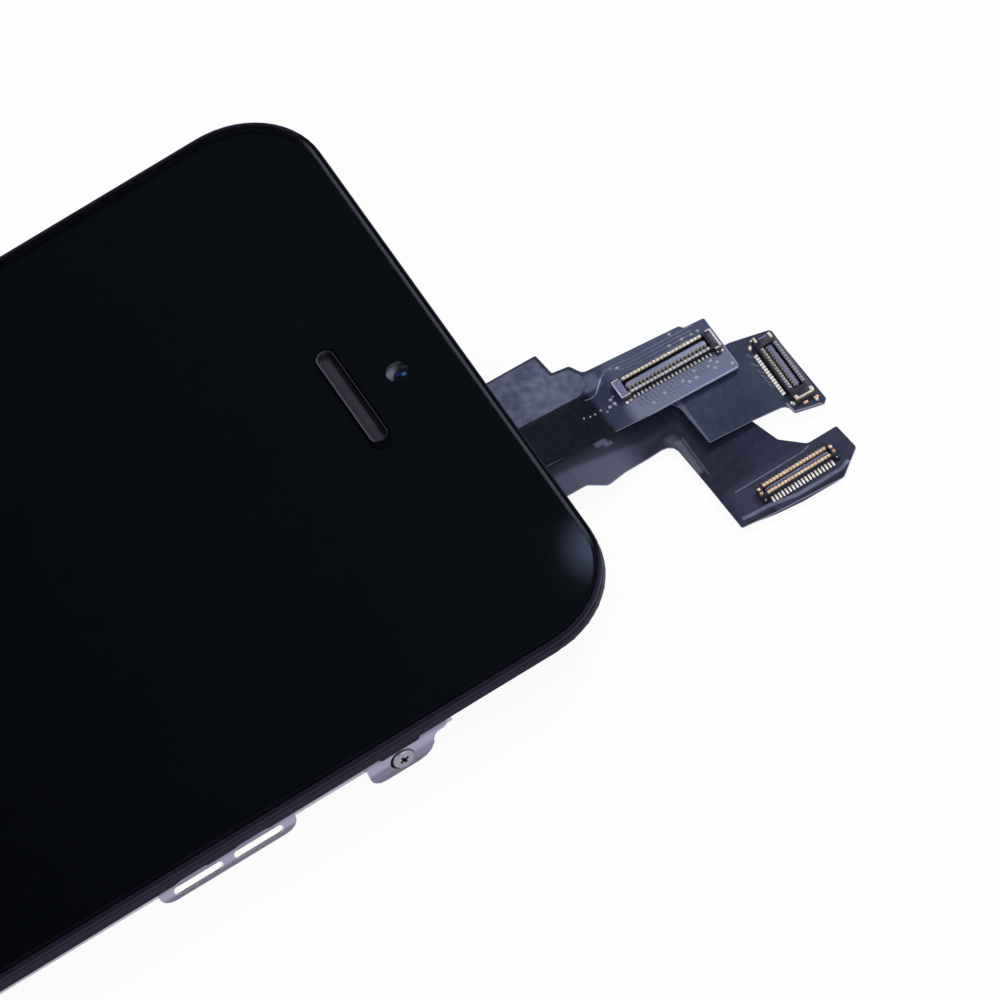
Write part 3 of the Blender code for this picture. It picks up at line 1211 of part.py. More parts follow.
def home_button_seat(flange_low, stem_low):
    """Rubber ring, dome switch, its flex and the bracket that carries them on two bosses."""
    ring_z = flange_low - HOME_TRAVEL - 0.12 * MM
    ring = [
        (HOME_GASKET_RADIUS, ring_z),
        (HOME_GASKET_RADIUS, ring_z - HOME_GASKET_THICKNESS),
        (HOME_STEM_RADIUS + 0.5 * MM, ring_z - HOME_GASKET_THICKNESS),
        (HOME_STEM_RADIUS + 0.5 * MM, ring_z),
    ]
    gasket = turned("home_button_gasket", ring, (0.0, HOME_Y, 0.0), 32, closed=True)
    dress(gasket, dark_rubber())
    bracket_top = -HOME_BRACKET_DROP
    flex_low = bracket_top + LAYER_GAP
    flex_high = flex_low + FLEX_THICKNESS
    switch_low = flex_high + LAYER_GAP
    switch_high = switch_low + SWITCH_BODY
    dome_top = stem_low - HOME_TRAVEL - 0.1 * MM
    switch = box(
        "home_switch",
        (-SWITCH_LENGTH / 2, HOME_Y - SWITCH_WIDTH / 2, switch_low),
        (SWITCH_LENGTH / 2, HOME_Y + SWITCH_WIDTH / 2, switch_high),
    )
    dome = [
        (0.0, dome_top),
        (DOME_RADIUS * 0.45, dome_top - 0.03 * MM),
        (DOME_RADIUS * 0.8, dome_top - DOME_HEIGHT * 0.5),
        (DOME_RADIUS, dome_top - DOME_HEIGHT),
        (DOME_RADIUS, switch_low + SWITCH_BODY / 2),
        (0.0, switch_low + SWITCH_BODY / 2),
    ]
    fuse(switch, turned("switch_dome", dome, (0.0, HOME_Y, 0.0), 20, helper=True))
    dress(switch, rolled_steel())
    tail = [
        (-4.2, 3.1, 0.5),
        (-4.2, -3.1, 0.5),
        (1.5, -4.6, 0.6),
        (16.5, -4.6, 0.0),
        (16.5, -5.3, 0.2),
        (20.5, -5.3, 0.4),
        (20.5, -0.9, 0.4),
        (16.5, -0.9, 0.3),
        (16.5, -2.2, 0.2),
        (6.5, -2.2, 0.5),
        (4.2, -0.9, 0.5),
        (4.2, 3.1, 0.5),
    ]
    loop = filleted([(x * GRID, HOME_Y + y * GRID, radius * GRID) for x, y, radius in tail], 2)
    flex = plate("home_flex", [loop], flex_low, flex_high)
    dress(flex, flex_film())
    half = HOME_BRACKET_WIDTH / 2
    reach = HOME_BOSS_X + 1.5 * GRID
    wing = 1.5 * GRID
    right = [(5.4 * GRID, half, 0.8 * GRID), (7.2 * GRID, wing, 0.8 * GRID), (reach, wing, 1.3 * GRID)]
    upper = [(-x, y, radius) for x, y, radius in reversed(right)] + right
    corners = [(x, HOME_Y + y, radius) for x, y, radius in upper]
    corners += [(x, HOME_Y - y, radius) for x, y, radius in reversed(upper)]
    holes = [circle(SCREW_HOLE_RADIUS, (x, HOME_Y), 16) for x in (-HOME_BOSS_X, HOME_BOSS_X)]
    window = oblong(4.6 * GRID, 1.6 * GRID, (0.0, HOME_Y), 4)
    sheet_low = bracket_top - HOME_BRACKET_SHEET
    bracket = plate("home_bracket", [filleted(corners, 3)] + holes + [window], sheet_low, bracket_top)
    dress(bracket, rolled_steel())
    for name, x in (("left", -HOME_BOSS_X), ("right", HOME_BOSS_X)):
        seat = (x, HOME_Y, sheet_low - 0.03 * MM)
        screw("home_screw_" + name, seat, (0.0, 0.0, -1.0), BRACKET_SCREW_LENGTH)


def shade_round_pieces():
    for obj in bpy.data.collections[PARTS].objects:
        if any(modifier.type == "SCREW" for modifier in obj.modifiers):
            obj.data.shade_smooth()


def build():
    clear_scene()
    cover_glass()
    bezel_frame()
    lcd_cell()
    backlight()
    shield_plate()
    side_rail("side_rail_right", 1)
    side_rail("side_rail_left", -1)
    side_screws()
    earpiece()
    camera()
    sensors()
    earpiece_bracket()
    flexes_and_connectors()
    home_button_seat(*home_button())
    shade_round_pieces()


build()
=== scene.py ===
"""Looks of a phone's front assembly: display, touch glass, frame, small parts and folded flexes.

Units are metres. +X is the phone's right side, +Y points to its earpiece end and +Z out of the
glass, with the origin in the middle of the glass's front face.
"""

import math

import bmesh
import bpy
from mathutils import Matrix, Vector


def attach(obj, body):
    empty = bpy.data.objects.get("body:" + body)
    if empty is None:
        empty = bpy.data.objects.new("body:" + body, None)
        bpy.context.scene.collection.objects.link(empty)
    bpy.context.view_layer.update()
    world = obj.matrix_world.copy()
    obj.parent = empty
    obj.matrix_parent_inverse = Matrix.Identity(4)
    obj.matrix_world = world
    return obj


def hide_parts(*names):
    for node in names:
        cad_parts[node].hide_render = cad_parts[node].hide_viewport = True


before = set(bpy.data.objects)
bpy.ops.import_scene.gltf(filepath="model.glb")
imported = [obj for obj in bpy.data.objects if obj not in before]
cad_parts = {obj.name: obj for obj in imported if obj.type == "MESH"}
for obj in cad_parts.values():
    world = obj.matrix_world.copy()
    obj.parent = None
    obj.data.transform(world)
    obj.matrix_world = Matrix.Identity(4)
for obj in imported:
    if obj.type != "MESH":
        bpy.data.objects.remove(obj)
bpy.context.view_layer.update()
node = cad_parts
MM = 0.001
TOP_EDGE = 61.1 * MM

# Display cell.
# Two panes of thin glass bonded together, with a dark polarising film on the front. The rear pane is
# longer and carries the flexes. The cell lies in the frame's window, glued along its edge.


def node_in(tree, kind, wires=None, **settings):
    """A new node. Each entry of wires is a value for a socket, or the socket that feeds it."""
    made = tree.nodes.new("ShaderNode" + kind)
    for key, value in settings.items():
        setattr(made, key, value)
    for socket, value in (wires or {}).items():
        if isinstance(value, bpy.types.NodeSocket):
            tree.links.new(value, made.inputs[socket])
        else:
            made.inputs[socket].default_value = value
    return made


def colour_steps(tree, mask, *steps):
    """A colour that follows a mask through (position, red, green, blue) steps."""
    ramp = node_in(tree, "ValToRGB", {"Fac": mask})
    elements = ramp.color_ramp.elements
    while len(elements) < len(steps):
        elements.new(0.5)
    for element, (position, *colour) in zip(elements, steps):
        element.position = position
        element.color = (*colour, 1.0)
    return ramp.outputs["Color"]


def between(tree, mask, low, high):
    """A value that runs from low to high as the mask runs from 0 to 1."""
    spread = node_in(tree, "MapRange", {"Value": mask, "To Min": low, "To Max": high})
    return spread.outputs["Result"]


def effect_group(name, inputs, outputs):
    """An empty shader node group with its named sockets, and its two end nodes."""
    group = bpy.data.node_groups.new(name, "ShaderNodeTree")
    for socket, kind in inputs.items():
        group.interface.new_socket(socket, in_out="INPUT", socket_type="NodeSocket" + kind)
    for socket in outputs:
        group.interface.new_socket(socket, in_out="OUTPUT", socket_type="NodeSocketFloat")
    entry = group.nodes.new("NodeGroupInput")
    leave = group.nodes.new("NodeGroupOutput")
    return group, entry, leave


EFFECT_INPUTS = {"Scale": "Float", "Contrast": "Float"}


def speckle_effect(name, stretch, detail, wide):
    """Fine marks over wide ones; the fine ones are drawn out along an axis whose stretch is small."""
    group, entry, leave = effect_group(name, EFFECT_INPUTS, ["Mask", "Height"])
    place = node_in(group, "TexCoord").outputs["Object"]
    drawn = node_in(group, "Mapping", {"Vector": place, "Scale": stretch}).outputs["Vector"]
    fine = node_in(group, "TexNoise", {"Vector": drawn, "Scale": entry.outputs["Scale"], "Detail": detail})
    broad = node_in(group, "TexNoise", {"Vector": place, **wide})
    both = node_in(group, "Math", {0: fine.outputs["Fac"], 1: broad.outputs["Fac"]}, operation="ADD")
    centred = node_in(group, "Math", {0: both.outputs[0], 1: 1.0}, operation="SUBTRACT")
    gain = {0: centred.outputs[0], 1: entry.outputs["Contrast"], 2: 0.5}
    spread = node_in(group, "Math", gain, operation="MULTIPLY_ADD", use_clamp=True)
    group.links.new(spread.outputs[0], leave.inputs["Mask"])
    group.links.new(fine.outputs["Fac"], leave.inputs["Height"])
    return group


EFFECTS = {
    # Uneven speckle, as on moulded plastic, coated film or etched glass
    "grain": speckle_effect("fine_grain", (1.0, 1.0, 1.0), 3.0, {"Scale": 260.0, "Detail": 2.0}),
    # Long faint lines along Y, as rolling leaves on steel sheet, with a few handling marks
    "rolled": speckle_effect(
        "rolling_lines", (1.0, 0.04, 1.0), 4.0, {"Scale": 420.0, "Detail": 3.0, "Roughness": 0.6}
    ),
}


def patterned(name, effect, scale, dark, light, roughness, depth=0.0, contrast=2.0, **plain):
    """A finish whose colour and roughness follow one of the effects, over a Principled shader."""
    made = bpy.data.materials.new(name)
    made.use_nodes = True
    tree = made.node_tree
    shader = tree.nodes["Principled BSDF"]
    pattern = node_in(tree, "Group", node_tree=EFFECTS[effect])
    pattern.inputs["Scale"].default_value = scale
    pattern.inputs["Contrast"].default_value = contrast
    mask = pattern.outputs["Mask"]
    colour = colour_steps(tree, mask, (0.0, *dark), (1.0, *light))
    tree.links.new(colour, shader.inputs["Base Color"])
    tree.links.new(between(tree, mask, *roughness), shader.inputs["Roughness"])
    if depth:
        relief = {"Height": pattern.outputs["Height"], "Distance": depth, "Strength": 1.0}
        bump = node_in(tree, "Bump", relief)
        tree.links.new(bump.outputs["Normal"], shader.inputs["Normal"])
    for socket, value in plain.items():
        shader.inputs[socket.replace("_", " ")].default_value = value
    return made


def clad(finish, *names):
    """Gives solids of the frame their finish."""
    for name in names:
        node[name].data.materials.clear()
        node[name].data.materials.append(finish)


cell_glass = patterned(
    "cell_glass", "grain", 5200.0, (0.0008, 0.001, 0.0013), (0.0011, 0.0013, 0.0018), (0.4, 0.5),
    Specular_IOR_Level=0.0,
)
clad(cell_glass, "lcd_cell")

# Backlight.
# Diffusing films, a clear light guide and a mirror film lie in a folded steel tray, with a row of
# white LEDs on a thin strip along the lower edge.

clad(
    patterned("diffuser_film", "grain", 4000.0, (0.78, 0.79, 0.82), (0.86, 0.87, 0.9), (0.45, 0.6)),
    "diffuser_films",
)
clad(
    patterned("guide_acrylic", "grain", 7000.0, (0.72, 0.77, 0.8), (0.8, 0.84, 0.86), (0.08, 0.2), IOR=1.49),
    "light_guide",
)
mirror_film = patterned(
    "mirror_film", "rolled", 900.0, (0.8, 0.81, 0.84), (0.88, 0.89, 0.91), (0.08, 0.16), Metallic=1.0
)
clad(mirror_film, "reflector_film")
clad(
    patterned("led_strip_white", "grain", 3000.0, (0.7, 0.7, 0.66), (0.82, 0.82, 0.78), (0.4, 0.55)),
    "led_strip",
)
tray_steel = patterned(
    "tray_steel", "rolled", 1500.0, (0.4, 0.4, 0.45), (0.52, 0.52, 0.57), (0.26, 0.4), 0.000004,
    Metallic=1.0,
)
clad(tray_steel, "backlight_tray")

# Moulded frame.
# One black glass-filled plastic moulding: a shelf behind the glass, a thin lip round it, a groove
# below the lip and side skirts that reach into the phone's case.

ALL_ROUND = 1.0


def patch_effect():
    """1 inside a box round a centre, with a soft border."""
    sockets = {"Centre": "Vector", "Half": "Vector", "Softness": "Float"}
    group, entry, leave = effect_group("soft_patch", sockets, ["Mask"])
    place = node_in(group, "TexCoord").outputs["Object"]
    apart = node_in(group, "VectorMath", {0: place, 1: entry.outputs["Centre"]}, operation="SUBTRACT")
    size = node_in(group, "VectorMath", {0: apart.outputs[0]}, operation="ABSOLUTE")
    limits = {0: size.outputs[0], 1: entry.outputs["Half"]}
    beyond = node_in(group, "VectorMath", limits, operation="SUBTRACT")
    outside = node_in(group, "VectorMath", {0: beyond.outputs[0], 1: (0.0, 0.0, 0.0)}, operation="MAXIMUM")
    length = node_in(group, "VectorMath", {0: outside.outputs[0]}, operation="LENGTH").outputs["Value"]
    fade = {"Value": length, "From Max": entry.outputs["Softness"], "To Min": 1.0, "To Max": 0.0}
    soft = node_in(group, "MapRange", fade, interpolation_type="SMOOTHSTEP")
    group.links.new(soft.outputs["Result"], leave.inputs["Mask"])
    return group


EFFECTS["patch"] = patch_effect()


def mixed_in(tree, mask, colour, share=1.0):
    """Lays a colour over what feeds the base colour, where the mask says."""
    target = tree.nodes["Principled BSDF"].inputs["Base Color"]
    amount = node_in(tree, "Math", {0: mask, 1: share}, operation="MULTIPLY")
    mix = node_in(tree, "Mix", data_type="RGBA")
    tree.links.new(amount.outputs[0], mix.inputs[0])
    tree.links.new(target.links[0].from_socket, mix.inputs[6])
    mix.inputs[7].default_value = (*colour, 1.0)
    tree.links.new(mix.outputs[2], target)


def toned(finish, *patches):
    """Tones a finish in places, each (centre, half size, border, share, colour)."""
    tree = finish.node_tree
    for centre, half, border, share, colour in patches:
        patch = node_in(tree, "Group", node_tree=EFFECTS["patch"])
        patch.inputs["Centre"].default_value = (*centre, 0.0)[:3]
        patch.inputs["Half"].default_value = (*half, ALL_ROUND)[:3]
        patch.inputs["Softness"].default_value = border
        mixed_in(tree, patch.outputs["Mask"], colour, share)
    return finish


frame_plastic = patterned(
    "frame_plastic", "grain", 9000.0, (0.006, 0.006, 0.014), (0.012, 0.012, 0.025), (0.36, 0.48), 0.000006,
    Specular_IOR_Level=0.1, Specular_Tint=(0.45, 0.47, 1.0, 1.0),
)
# Bands of tone all round: a lighter band about the glass's level and a darker lower skirt; a painted shadow
# line high on the lip's side, and a painted light band that lifts the shade in the groove below the lip. Then
# painted shade darkens the lip along the top edge.
for height, half_height, border, share, colour in (
    (0.0, 1.0, 0.3, 0.8, (0.013, 0.013, 0.027)),
    (-2.6, 0.9, 0.3, 0.9, (0.002, 0.002, 0.01)),
    (-0.25, 0.04, 0.06, 0.9, (0.001, 0.001, 0.003)),
    (-0.64, 0.05, 0.04, 1.0, (0.03, 0.03, 0.055)),
):
    band = (ALL_ROUND, ALL_ROUND, half_height * MM)
    toned(frame_plastic, ((0.0, 0.0, height * MM), band, border * MM, share, colour))
# Painted shade: the lip is darker along the top edge only.
toned(
    frame_plastic,
    ((0.0, TOP_EDGE, 0.0), (24 * MM, 0.3 * MM, 0.25 * MM), 0.6 * MM, 0.95, (0.001, 0.0012, 0.002)),
)
clad(frame_plastic, "bezel_frame")

# Cover glass and its print.
# Clear strengthened glass with ground edges. A black print on its back hides everything but the
# display, the camera's window and the two sensor eyes.

clear_glass = bpy.data.materials.new("clear_glass")
clear_glass.use_nodes = True
glass_tree = clear_glass.node_tree
glass_shader = glass_tree.nodes["Principled BSDF"]
glass_shader.inputs["Base Color"].default_value = (0.93, 0.97, 0.96, 1.0)
glass_shader.inputs["Transmission Weight"].default_value = 1.0
glass_shader.inputs["IOR"].default_value = 1.5
smear = node_in(glass_tree, "Group", node_tree=EFFECTS["grain"])
smear.inputs["Scale"].default_value = 160.0
smear.inputs["Contrast"].default_value = 1.6
haze = between(glass_tree, smear.outputs["Mask"], 0.0, 0.03)
glass_tree.links.new(haze, glass_shader.inputs["Roughness"])
clad(clear_glass, "cover_glass")


def only(piece):
    """Makes one object the only selected one."""
    bpy.ops.object.select_all(action="DESELECT")
    piece.select_set(True)
    bpy.context.view_layer.objects.active = piece


def added(name, operator, **settings):
    """A new primitive, alone in the selection, with its scale applied."""
    bpy.ops.object.select_all(action="DESELECT")
    operator(**settings)
    piece = bpy.context.active_object
    piece.name = name
    piece.data.name = name
    bpy.ops.object.transform_apply(location=True, rotation=True, scale=True)
    return piece


def block(name, corner, opposite):
    """A box between two opposite corners, ready to be shaped."""
    low, high = Vector(map(min, corner, opposite)), Vector(map(max, corner, opposite))
    middle, size = (low + high) / 2, high - low
    return added(name, bpy.ops.mesh.primitive_cube_add, size=1.0, location=middle, scale=size)


def start_edit(piece):
    only(piece)
    bpy.ops.object.mode_set(mode="EDIT")


def stop_edit():
    bpy.ops.object.mode_set(mode="OBJECT")


def extrude(x, y, z):
    """Extrudes what is selected along a vector."""
    bpy.ops.mesh.extrude_region_move(TRANSFORM_OT_translate={"value": (x, y, z)})


def smooth(piece, angle):
    """Smooth shading, but for edges sharper than an angle in degrees."""
    only(piece)
    bpy.ops.object.shade_smooth_by_angle(angle=math.radians(angle))


def turn_outwards(piece):
    """Makes all the faces of a closed shape look out."""
    start_edit(piece)
    bpy.ops.mesh.select_all(action="SELECT")
    bpy.ops.mesh.normals_make_consistent(inside=False)
    stop_edit()


def twin_of(piece, name):
    """A copy with its own mesh."""
    twin = bpy.data.objects.new(name, piece.data.copy())
    twin.data.name = name
    bpy.context.scene.collection.objects.link(twin)
    return twin


def choose(piece, kind, test):
    """In edit mode, selects the faces, edges or vertices that pass a test and nothing else."""
    modes = {"verts": "VERT", "edges": "EDGE", "faces": "FACE"}
    bpy.ops.mesh.select_mode(type=modes[kind])
    bpy.ops.mesh.select_all(action="DESELECT")
    shape = bmesh.from_edit_mesh(piece.data)
    shape.faces.ensure_lookup_table()
    for part in getattr(shape, kind):
        if test(part):
            part.select_set(True)
    bmesh.update_edit_mesh(piece.data)


def upright(edge):
    """Whether an edge stands along Z."""
    span = edge.verts[0].co - edge.verts[1].co
    return abs(span.z) > 0.99 * span.length


def facing(z):
    """A test for faces that look up (z = 1) or down (z = -1)."""
    return lambda face: face.normal.z * z > 0.9


def round_corners(piece, radius, segments, test=upright):
    """Rounds the chosen edges of a piece."""
    start_edit(piece)
    choose(piece, "edges", test)
    bpy.ops.mesh.bevel(offset=radius, segments=segments, affect="EDGES")
    stop_edit()
    return piece


def apply_all(piece):
    """Applies a piece's modifiers, in their order."""
    only(piece)
    for change in list(piece.modifiers):
        bpy.ops.object.modifier_apply(modifier=change.name)
    return piece


def cut_away(piece, *cutters, operation="DIFFERENCE"):
    """Cuts pieces out of another one, or joins them to it, and removes them."""
    for cutter in cutters:
        change = piece.modifiers.new("cut", "BOOLEAN")
        change.operation = operation
        change.solver = "EXACT"
        change.object = cutter
    apply_all(piece)
    for cutter in cutters:
        bpy.data.objects.remove(cutter, do_unlink=True)
    return piece


def round_edges(piece, width, segments=2, angle=35.0):
    """Small bevels on the sharp edges of a finished shape."""
    edge = piece.modifiers.new("edge", "BEVEL")
    edge.width = width
    edge.segments = segments
    edge.limit_method = "ANGLE"
    edge.angle_limit = math.radians(angle)
    smooth(apply_all(piece), 40.0)
    return piece


def placed(piece, matrix):
    """Moves a finished shape to its place, which goes into its mesh."""
    piece.matrix_world = matrix
    only(piece)
    bpy.ops.object.transform_apply(location=True, rotation=True, scale=True)
    return piece


def merged(name, pieces):
    """Joins copies into one piece."""
    bpy.ops.object.select_all(action="DESELECT")
    for piece in pieces:
        piece.select_set(True)
    bpy.context.view_layer.objects.active = pieces[0]
    bpy.ops.object.join()
    pieces[0].name = name
    pieces[0].data.name = name
    return pieces[0]


def fitted(piece, finish, slot, *solids, body="assembly"):
    """Finishes a piece: its material, the body it rides on and the solids it stands for."""
    piece.data.materials.clear()
    piece.data.materials.append(finish)
    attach(piece, body)
    if solids:
        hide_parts(*solids)
    return piece


EARPIECE_Y = TOP_EDGE - 8.75 * MM
CAMERA_AT = (-0.13 * MM, TOP_EDGE - 4.84 * MM)
SENSOR_Y = TOP_EDGE - 8.75 * MM
HOME_Y = -TOP_EDGE + 8.1 * MM
SENSOR_EYES = (-8.7 * MM, -7.95 * MM)
PRINT_HIGH, PRINT_LOW = -0.81 * MM, -0.83 * MM
# A full round end is rounded this much less, so that its two arcs don't meet in one point
NEARLY_ROUND = 0.001 * MM


def drill(name, x, y, radius, sides=48):
    """An upright round cutter."""
    return added(
        name, bpy.ops.mesh.primitive_cylinder_add, vertices=sides, radius=radius, depth=2 * MM,
        location=(x, y, -MM),
    )


def slot_cutter(length, width, x, y):
    """An upright cutter, long in X, with round ends."""
    long, wide = length / 2, width / 2
    cutter = block("slot_cutter", (x - long, y - wide, -2 * MM), (x + long, y + wide, MM))
    return round_corners(cutter, wide - NEARLY_ROUND, 10)


glass_print = round_corners(
    block("glass_print", (-28.0 * MM, -60.6 * MM, PRINT_LOW), (28.0 * MM, 60.6 * MM, PRINT_HIGH)),
    6.6 * MM, 14,
)
display_opening = round_corners(
    block("display_opening", (-25.0 * MM, -44.4 * MM, -2 * MM), (25.0 * MM, 44.4 * MM, MM)), 0.2 * MM, 3
)
cut_away(
    glass_print,
    display_opening,
    slot_cutter(10.06 * MM, 1.61 * MM, 0.0, EARPIECE_Y),
    drill("camera_opening", *CAMERA_AT, 0.9 * MM),
    *(drill("sensor_opening", x, SENSOR_Y, 0.3 * MM, 24) for x in SENSOR_EYES),
    drill("button_opening", 0.0, HOME_Y, 5.7 * MM, 64),
)
print_black = patterned(
    "print_black", "grain", 6500.0, (0.0008, 0.001, 0.0013), (0.0011, 0.0013, 0.0018), (0.4, 0.5),
    Specular_IOR_Level=0.0,
)
fitted(glass_print, print_black, "black_glass")

# Dark violet ink, which lets infrared through, closes the two sensor eyes from behind.
sensor_ink = patterned(
    "sensor_ink", "grain", 6500.0, (0.007, 0.003, 0.014), (0.011, 0.005, 0.022), (0.4, 0.5),
    Specular_IOR_Level=0.0,
)
dots = [
    added(
        "sensor_ink_dot", bpy.ops.mesh.primitive_cylinder_add, vertices=32, radius=0.42 * MM,
        depth=0.02 * MM, location=(x, SENSOR_Y, PRINT_LOW - 0.012 * MM),
    )
    for x in SENSOR_EYES
]
fitted(round_edges(merged("sensor_ink_dots", dots), 0.005 * MM), sensor_ink, "black_glass")


def plain_ring(name, outer, inner, radius, low, high, middle=(0.0, 0.0)):
    """A thin upright wall round a rounded outline; outer and inner are its sizes in X and Y."""
    inner_radius = radius - (outer[0] - inner[0]) / 2
    walls = []
    for (across, along), reach, bend in ((outer, 0.0, radius), (inner, MM, inner_radius)):
        x, y, half_x, half_y = *middle, across / 2, along / 2
        wall = block(name, (x - half_x, y - half_y, low - reach), (x + half_x, y + half_y, high + reach))
        walls.append(round_corners(wall, bend, 14))
    return cut_away(walls[0], walls[1])


# The ground edge is sealed all round with black, which also covers its narrow bevel.
edge_coat = plain_ring(
    "glass_edge_coat", (56.26 * MM, 121.46 * MM), (55.7 * MM, 120.9 * MM), 6.78 * MM, PRINT_LOW,
    0.006 * MM,
)
edge_black = patterned(
    "edge_black", "grain", 6500.0, (0.002, 0.0025, 0.004), (0.004, 0.005, 0.008), (0.45, 0.6),
    Specular_IOR_Level=0.02,
)
# Painted highlight: the coat is lighter along the top edge, where the glass's edge catches the light.
toned(edge_black, ((0.0, 60.75 * MM), (21.5 * MM, 0.5 * MM), 2.0 * MM, 1.0, (0.045, 0.05, 0.066)))
fitted(round_edges(edge_coat, 0.07 * MM, 3), edge_black, "black_glass")

# The frame's lip and side follow the glass in the same fine round corners.
OUTLINE_WALL = 0.5 * MM
for name, inset, low, high, bevel in (
    ("frame_side_outline", 0.005, -1.365, -0.7, 0.03),
    ("frame_lip_outline", 0.035, -0.58, -0.143, 0.1),
):
    wide, long = (57.0 - 2 * inset) * MM, (122.2 - 2 * inset) * MM
    inner = (wide - OUTLINE_WALL, long - OUTLINE_WALL)
    outline = plain_ring(name, (wide, long), inner, (7.15 - inset) * MM, low * MM, high * MM)
    fitted(round_edges(outline, bevel * MM), frame_plastic, "black_plastic")

# Shield plate.
# Pressed from thin steel sheet, with upturned sides and a raised field. It covers the display's back
# and takes the side screws in its ears.

plate_steel = patterned(
    "plate_steel", "rolled", 1300.0, (0.34, 0.34, 0.4), (0.5, 0.5, 0.57), (0.25, 0.42), 0.000005, Metallic=1.0
)
clad(plate_steel, "shield_plate")

# Side rails.
# Folded steel strips glued under the frame's shelf. Their tabs hang past the skirt: one takes a small
# screw, the other has two slots that clip into the case.


def cut_edge_effect():
    """1 on the cut edges of a sheet and 0 on its faces, which look along the given axis."""
    group, entry, leave = effect_group("cut_edge", {"Axis": "Vector"}, ["Mask"])
    facing_way = node_in(group, "NewGeometry").outputs["True Normal"]
    along = node_in(group, "VectorMath", {0: facing_way, 1: entry.outputs["Axis"]}, operation="DOT_PRODUCT")
    lift = node_in(group, "Math", {0: along.outputs["Value"]}, operation="ABSOLUTE")
    limits = {"Value": lift.outputs[0], "From Min": 0.5, "From Max": 0.75, "To Min": 1.0, "To Max": 0.0}
    group.links.new(node_in(group, "MapRange", limits).outputs["Result"], leave.inputs["Mask"])
    return group


EFFECTS["edge"] = cut_edge_effect()


def edged(finish, axis, colour, share):
    """Gives a sheet's cut edges, or a part's sides, a colour apart from its faces; on the rails it is a
    painted highlight and on the connector metals painted shade.
    """
    edge = node_in(finish.node_tree, "Group", node_tree=EFFECTS["edge"])
    edge.inputs["Axis"].default_value = axis
    mixed_in(finish.node_tree, edge.outputs["Mask"], colour, share)
    return finish


rail_steel = patterned(
    "rail_steel", "rolled", 2600.0, (0.165, 0.158, 0.245), (0.25, 0.243, 0.35), (0.3, 0.45), 0.000004,
    Metallic=1.0,
)
RAIL_FACE, RAIL_TOP, TAB_BOTTOM = 28.0 * MM, -2.9 * MM, -4.75 * MM
# Painted highlight lightens the tabs' upper part along the fold, painted shade darkens them towards the
# bottom edge, and a third tone darkens them round the two slots at the upper end.
toned(
    rail_steel,
    ((0.0, 0.0, RAIL_TOP), (ALL_ROUND, ALL_ROUND, 0.25 * MM), 0.5 * MM, 0.7, (0.41, 0.39, 0.54)),
    ((0.0, 0.0, TAB_BOTTOM), (ALL_ROUND, ALL_ROUND, 0.1 * MM), 0.8 * MM, 0.8, (0.14, 0.13, 0.19)),
    ((0.0, 25.8 * MM, -4.0 * MM), (ALL_ROUND, 6 * MM, 0.4 * MM), 0.5 * MM, 0.6, (0.12, 0.11, 0.165)),
)
# Painted highlight: the cut edges and slot walls are drawn almost white.
edged(rail_steel, (1.0, 0.0, 0.0), (0.9, 0.9, 0.95), 0.85)
SIDE_SCREW_Y, SIDE_SCREW_Z = 40.6 * MM, -3.55 * MM
SEAT_RADIUS, SEAT_DEPTH, SEAT_OFFSET = 0.99 * MM, 0.33 * MM, 0.1 * MM
SEAT_SHADE = 27.64 * MM
# Painted shade darkens the floor of each screw's seat.
for side in (1, -1):
    seat_floor_shade = ((side * SEAT_SHADE, 0.0, SIDE_SCREW_Z), (0.02 * MM, ALL_ROUND, MM))
    toned(rail_steel, (*seat_floor_shade, 0.2 * MM, 1.0, (0.01, 0.01, 0.014)))
# The plain part's recess round a screw: its floor, and its half lengths with their heights
RECESS_FLOOR = 27.7 * MM
RECESS_STEPS = ((1.1 * MM, -4.75 * MM, -2.4 * MM), (1.26 * MM, -4.3 * MM, -2.8 * MM))
SLOT_PLACES = (28.425 * MM, 23.325 * MM, -23.325 * MM, -28.425 * MM)
RELIEF_X, RELIEF_Z, RELIEF_HALF = (27.5 * MM, 27.88 * MM), (-3.84 * MM, -2.7 * MM), 2.13 * MM


def solid_copy(name):
    """A copy of a frame's solid with its triangles joined, ready to be shaped further."""
    twin = twin_of(node[name], name + "_dressed")
    start_edit(twin)
    bpy.ops.mesh.select_all(action="SELECT")
    bpy.ops.mesh.remove_doubles(threshold=0.000001)
    bpy.ops.mesh.dissolve_limited(angle_limit=math.radians(0.5))
    stop_edit()
    return twin


def lies_across(edge):
    """Whether an edge runs along X."""
    return abs(edge.verts[0].co.x - edge.verts[1].co.x) > 0.1 * MM


for side, where in ((1, "right"), (-1, "left")):
    rail = solid_copy(f"side_rail_{where}")
    holes = []
    for end in (1, -1):
        # The wide recess of the plain part is closed first, and the screw's seat is cut anew.
        y = end * SIDE_SCREW_Y
        for reach, low, high in RECESS_STEPS:
            plug = block(
                "recess_plug", (side * RECESS_FLOOR, y - reach, low), (side * RAIL_FACE, y + reach, high)
            )
            cut_away(rail, plug, operation="UNION")
        holes.append(added(
            "screw_seat", bpy.ops.mesh.primitive_cylinder_add, vertices=48, radius=SEAT_RADIUS, depth=2 * MM,
            location=(side * (RAIL_FACE + MM - SEAT_DEPTH), y - SEAT_OFFSET, SIDE_SCREW_Z + SEAT_OFFSET),
            rotation=(0.0, math.pi / 2, 0.0),
        ))
    # The strip below each slot is thinned from behind, so that only a narrow lip shows from above.
    for y in SLOT_PLACES:
        relief = block("slot_relief", *(
            (side * x, y + half, z) for x, half, z in zip(RELIEF_X, (-RELIEF_HALF, RELIEF_HALF), RELIEF_Z)
        ))
        holes.append(round_corners(relief, 0.5 * MM, 6, lies_across))
    fitted(round_edges(cut_away(rail, *holes), 0.04 * MM), rail_steel, "rolled_steel", f"side_rail_{where}")

